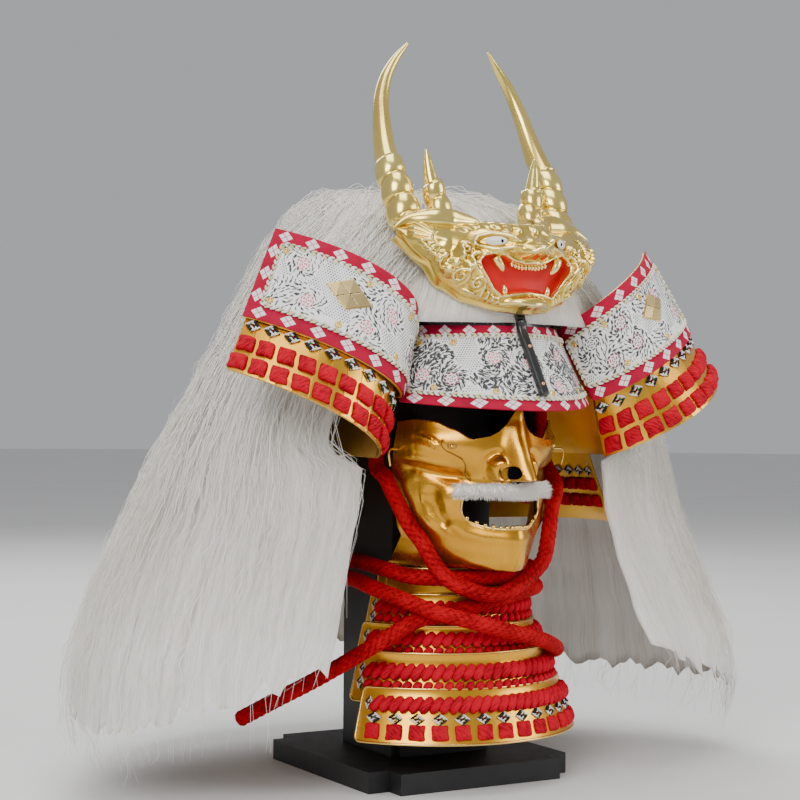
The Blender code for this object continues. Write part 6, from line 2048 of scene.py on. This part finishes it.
def makeHairCrown(draws):
    rows, columns = 130, 22
    turn = np.linspace(-math.pi, math.pi, rows, endpoint=False)[:, None]
    low = np.where(np.abs(turn) < math.radians(46), hair["rimZ"], hair["splitZ"] - 0.006)
    down = np.linspace(0.02, 1, columns)[None]
    z = hair["topZ"] - 0.0005 - (hair["topZ"] - 0.0005 - low) * down**1.8
    turn = turn + 0 * z
    out = hairOutward(turn, z)
    depth = np.where(np.abs(turn) < math.radians(70), 0.002, hair["bodyDepth"])
    waved = np.where(np.abs(turn) < math.radians(70), 0.0003, 0.0009) * clumpRipple(turn, z, draws)
    outside = hairPlace(turn, z) + out * (waved * np.clip(down * 2, 0.2, 1) - depth)[..., None]
    inside = outside - out * 0.0018
    half = rows * columns
    faces = gridFaces(rows, columns, wrapRows=True).tolist()
    faces += gridFaces(rows, columns, start=half, wrapRows=True, flip=True).tolist()
    lowRim = [[i * columns + columns - 1, ((i + 1) % rows) * columns + columns - 1] for i in range(rows)]
    faces += [[a, b, b + half, a + half] for a, b in lowRim]
    faces.append([i * columns for i in range(rows)][::-1])
    faces.append([half + i * columns for i in range(rows)])
    points = np.concatenate([outside.reshape(-1, 3), inside.reshape(-1, 3)])
    lay = np.stack([turn * 60, z * 9, 0 * z], -1).reshape(-1, 3)
    addPiece("hairCrown", points, faces, bodyHair, "white_hair", ("hair_crown",), np.concatenate([lay, lay]))


def closeSheet(name, outside, inside, nodeNames, share, z):
    # a closed shell between two grids of points
    rows, columns = outside.shape[:2]
    half = rows * columns
    faces = gridFaces(rows, columns).tolist() + gridFaces(rows, columns, start=half, flip=True).tolist()
    faces += [[b, a, a + half, b + half] for a, b in rimPairs(rows, columns)]
    points = np.concatenate([outside.reshape(-1, 3), inside.reshape(-1, 3)])
    lay = np.stack([share * 190 + 0 * z, z * 9, 0 * z], -1).reshape(-1, 3)
    addPiece(name, points, faces, bodyHair, "white_hair", nodeNames, np.concatenate([lay, lay]))


def resample(values, along, shares):
    # values on many paths taken again at shares of each path's length
    taken = np.empty((len(values), shares.shape[1], 3))
    for k in range(len(values)):
        for axis in range(3):
            taken[k, :, axis] = np.interp(shares[k] * along[k, -1], along[k], values[k, :, axis])
    return taken


def makeStrands(name, count, seed, size):
    # strands that follow the hair's fall, waved, gathered in locks and thinning to their tips
    draws = np.random.default_rng(seed)
    stations = size["stations"]
    if size["front"]:
        share = draws.uniform(-1, 1, count)
        hem = hair["rimZ"] - 0.0008 + draws.uniform(0, 0.004, count)
    else:
        share = draws.uniform(0, 1, count) * np.where(draws.uniform(0, 1, count) < 0.5, -1, 1)
        lock = np.sin(share * 61) * 0.5 + 0.5
        hem = (
            hemHeight(share) + draws.normal(0, 0.006, count) - 0.012 * lock
            + draws.uniform(0, 1, count) ** 3 * 0.07
        )
    down = np.linspace(0.015, 1, 80)[None]
    z = (hair["topZ"] - 0.0008) - (hair["topZ"] - hem)[:, None] * down**1.7
    z = np.maximum(z, 0.012)
    if size["front"]:
        turn = share[:, None] * math.radians(52) + 0 * z
    else:
        gathered = np.round(share * 85) / 85
        pull = size["gather"] * down**2.2
        drift = 0.01 * np.sin(
            draws.uniform(0, 6.28, count)[:, None] + down * draws.uniform(2, 6, count)[:, None]
        )
        near = (
            share[:, None] * (1 - pull) + gathered[:, None] * pull
            + drift * (down > 0.05) * np.minimum(1, down * 3)
        )
        near = np.where(share[:, None] < 0, np.minimum(near, -0.0005), np.maximum(near, 0.0005))
        turn = hairTurn(np.clip(near, -1, 1), z)
    out = hairOutward(turn, z)
    surface = hairPlace(turn, z)
    first = draws.uniform(size["start"][0], size["start"][1], count)
    long = draws.uniform(size["length"][0], size["length"][1], count)
    last = np.minimum(1, first + long)
    shares = first[:, None] + (last - first)[:, None] * np.linspace(0, 1, stations)[None]
    along = np.stack([runLength(path) for path in surface])
    path, normals = resample(surface, along, shares), unit(resample(out, along, shares))
    t = np.linspace(0, 1, stations)[None]
    travel = (last - first)[:, None] * along[:, -1:] * t
    across = unit(np.cross(normals, unit(np.gradient(path, axis=1))))
    lift = draws.uniform(size["lift"][0], size["lift"][1], count)[:, None]
    lift = lift * np.clip(t * 6, 0, 1) - 0.0055 * (1 - np.clip(t * 6, 0, 1)) * (first[:, None] > 0.05)
    path = path + normals * lift[..., None]
    for scale in (1.0, 0.45):
        wave = size["wave"] * scale * draws.uniform(0.6, 1.5, count)[:, None]
        phase = draws.uniform(0, 6.28, count)[:, None]
        tall = size["amplitude"] * scale * (0.15 + 0.85 * t) * draws.uniform(0.4, 1.4, count)[:, None]
        if size["front"]:
            tall = tall * 0.5
        path = path + across * (tall * np.sin(2 * math.pi * travel / wave + phase))[..., None]
        path = path + normals * (
            0.45 * tall * np.cos(2 * math.pi * travel / wave * 1.13 + phase * 2)
        )[..., None]
    path[..., 2] = np.maximum(path[..., 2], 0.006)
    radii = (
        size["radius"] * draws.uniform(0.7, 1.2, count)[:, None] * (1 - 0.8 * t**1.6)
        * np.clip(0.4 + t * 8, 0, 1)
    )
    points, faces = manyTubes(path, radii, 3, normals, 0.5)
    own = np.repeat(draws.uniform(0, 60, count), stations * 3)
    lay = np.stack([own, np.repeat(travel.ravel() * 9, 3), 0 * own], -1)
    addPiece(name, points, faces, strandHair, "white_hair", (), lay)


def hairBodyMaterial(name, light, dark, tint):
    # fibres drawn along the fall, with broad darker streaks that are painted shade of partings between the
    # locks
    finish, tree, shader, place = newFinish(
        name, 0.6, Sheen_Weight=0.3, Sheen_Roughness=0.5, Specular_IOR_Level=0.3,
    )
    shader.inputs["Sheen Tint"].default_value = (*light, 1)
    lay = addNode(tree, "Attribute", out=1, attribute_name="lay")
    bend = addNoise(tree, place, 26.0, 2.0)
    shift = addNode(tree, "CombineXYZ", addMath(tree, "MULTIPLY", bend, 3.0), 0.0, 0.0)
    moved = addNode(tree, "VectorMath", lay, shift, operation="ADD")
    fine = addNoise(
        tree, addNode(tree, "VectorMath", moved, (3.2, 1.0, 1.0), operation="MULTIPLY"), 1.0, 5.0, 0.7,
    )
    # painted shade: broad darker streaks for the partings between locks
    partingShade = addNoise(
        tree, addNode(tree, "VectorMath", moved, (0.55, 0.45, 1.0), operation="MULTIPLY"), 1.0, 3.0, 0.6,
    )
    shade = addMath(tree, "MULTIPLY_ADD", fine, 0.65, addMath(tree, "MULTIPLY", partingShade, 0.35))
    colourFrom(tree, shader, shade, [(0.34, dark), (0.48, tint), (0.62, light)])
    addBump(tree, shader, shade, 0.7, 0.003)
    return finish


bodyHair = hairBodyMaterial("bodyHair", (0.98, 0.95, 0.89), (0.68, 0.63, 0.55), (0.9, 0.86, 0.79))
strandHair = hairMaterial("strandHair", (1.0, 0.98, 0.93), (0.74, 0.69, 0.6), (0.93, 0.9, 0.83))
longStrands = {
    "stations": 14, "front": False, "gather": 0.5, "start": (0.0, 0.3), "length": (0.45, 1.0),
    "lift": (-0.0045, 0.0045), "wave": 0.075, "amplitude": 0.0048, "radius": 0.00048,
}
shortStrands = dict(longStrands, stations=10, start=(0.03, 0.9), length=(0.1, 0.22), wave=0.034, gather=0.3)
shortStrands.update(lift=(-0.002, 0.0075), amplitude=0.0062, radius=0.0004)
frontStrands = dict(longStrands, stations=10, front=True, start=(0.3, 0.6), length=(0.3, 0.7))
frontStrands.update(lift=(-0.0008, 0.0012), amplitude=0.002, wave=0.05, radius=0.00045)
hairDraws = np.random.default_rng(11)
makeHairMantle(hairDraws)
makeHairCrown(hairDraws)
for number in range(2):
    makeStrands(f"longStrands{number}", 650, 21 + number, longStrands)
    makeStrands(f"shortStrands{number}", 850, 31 + number, shortStrands)
makeStrands("frontStrands", 360, 41, frontStrands)
print("hair made")
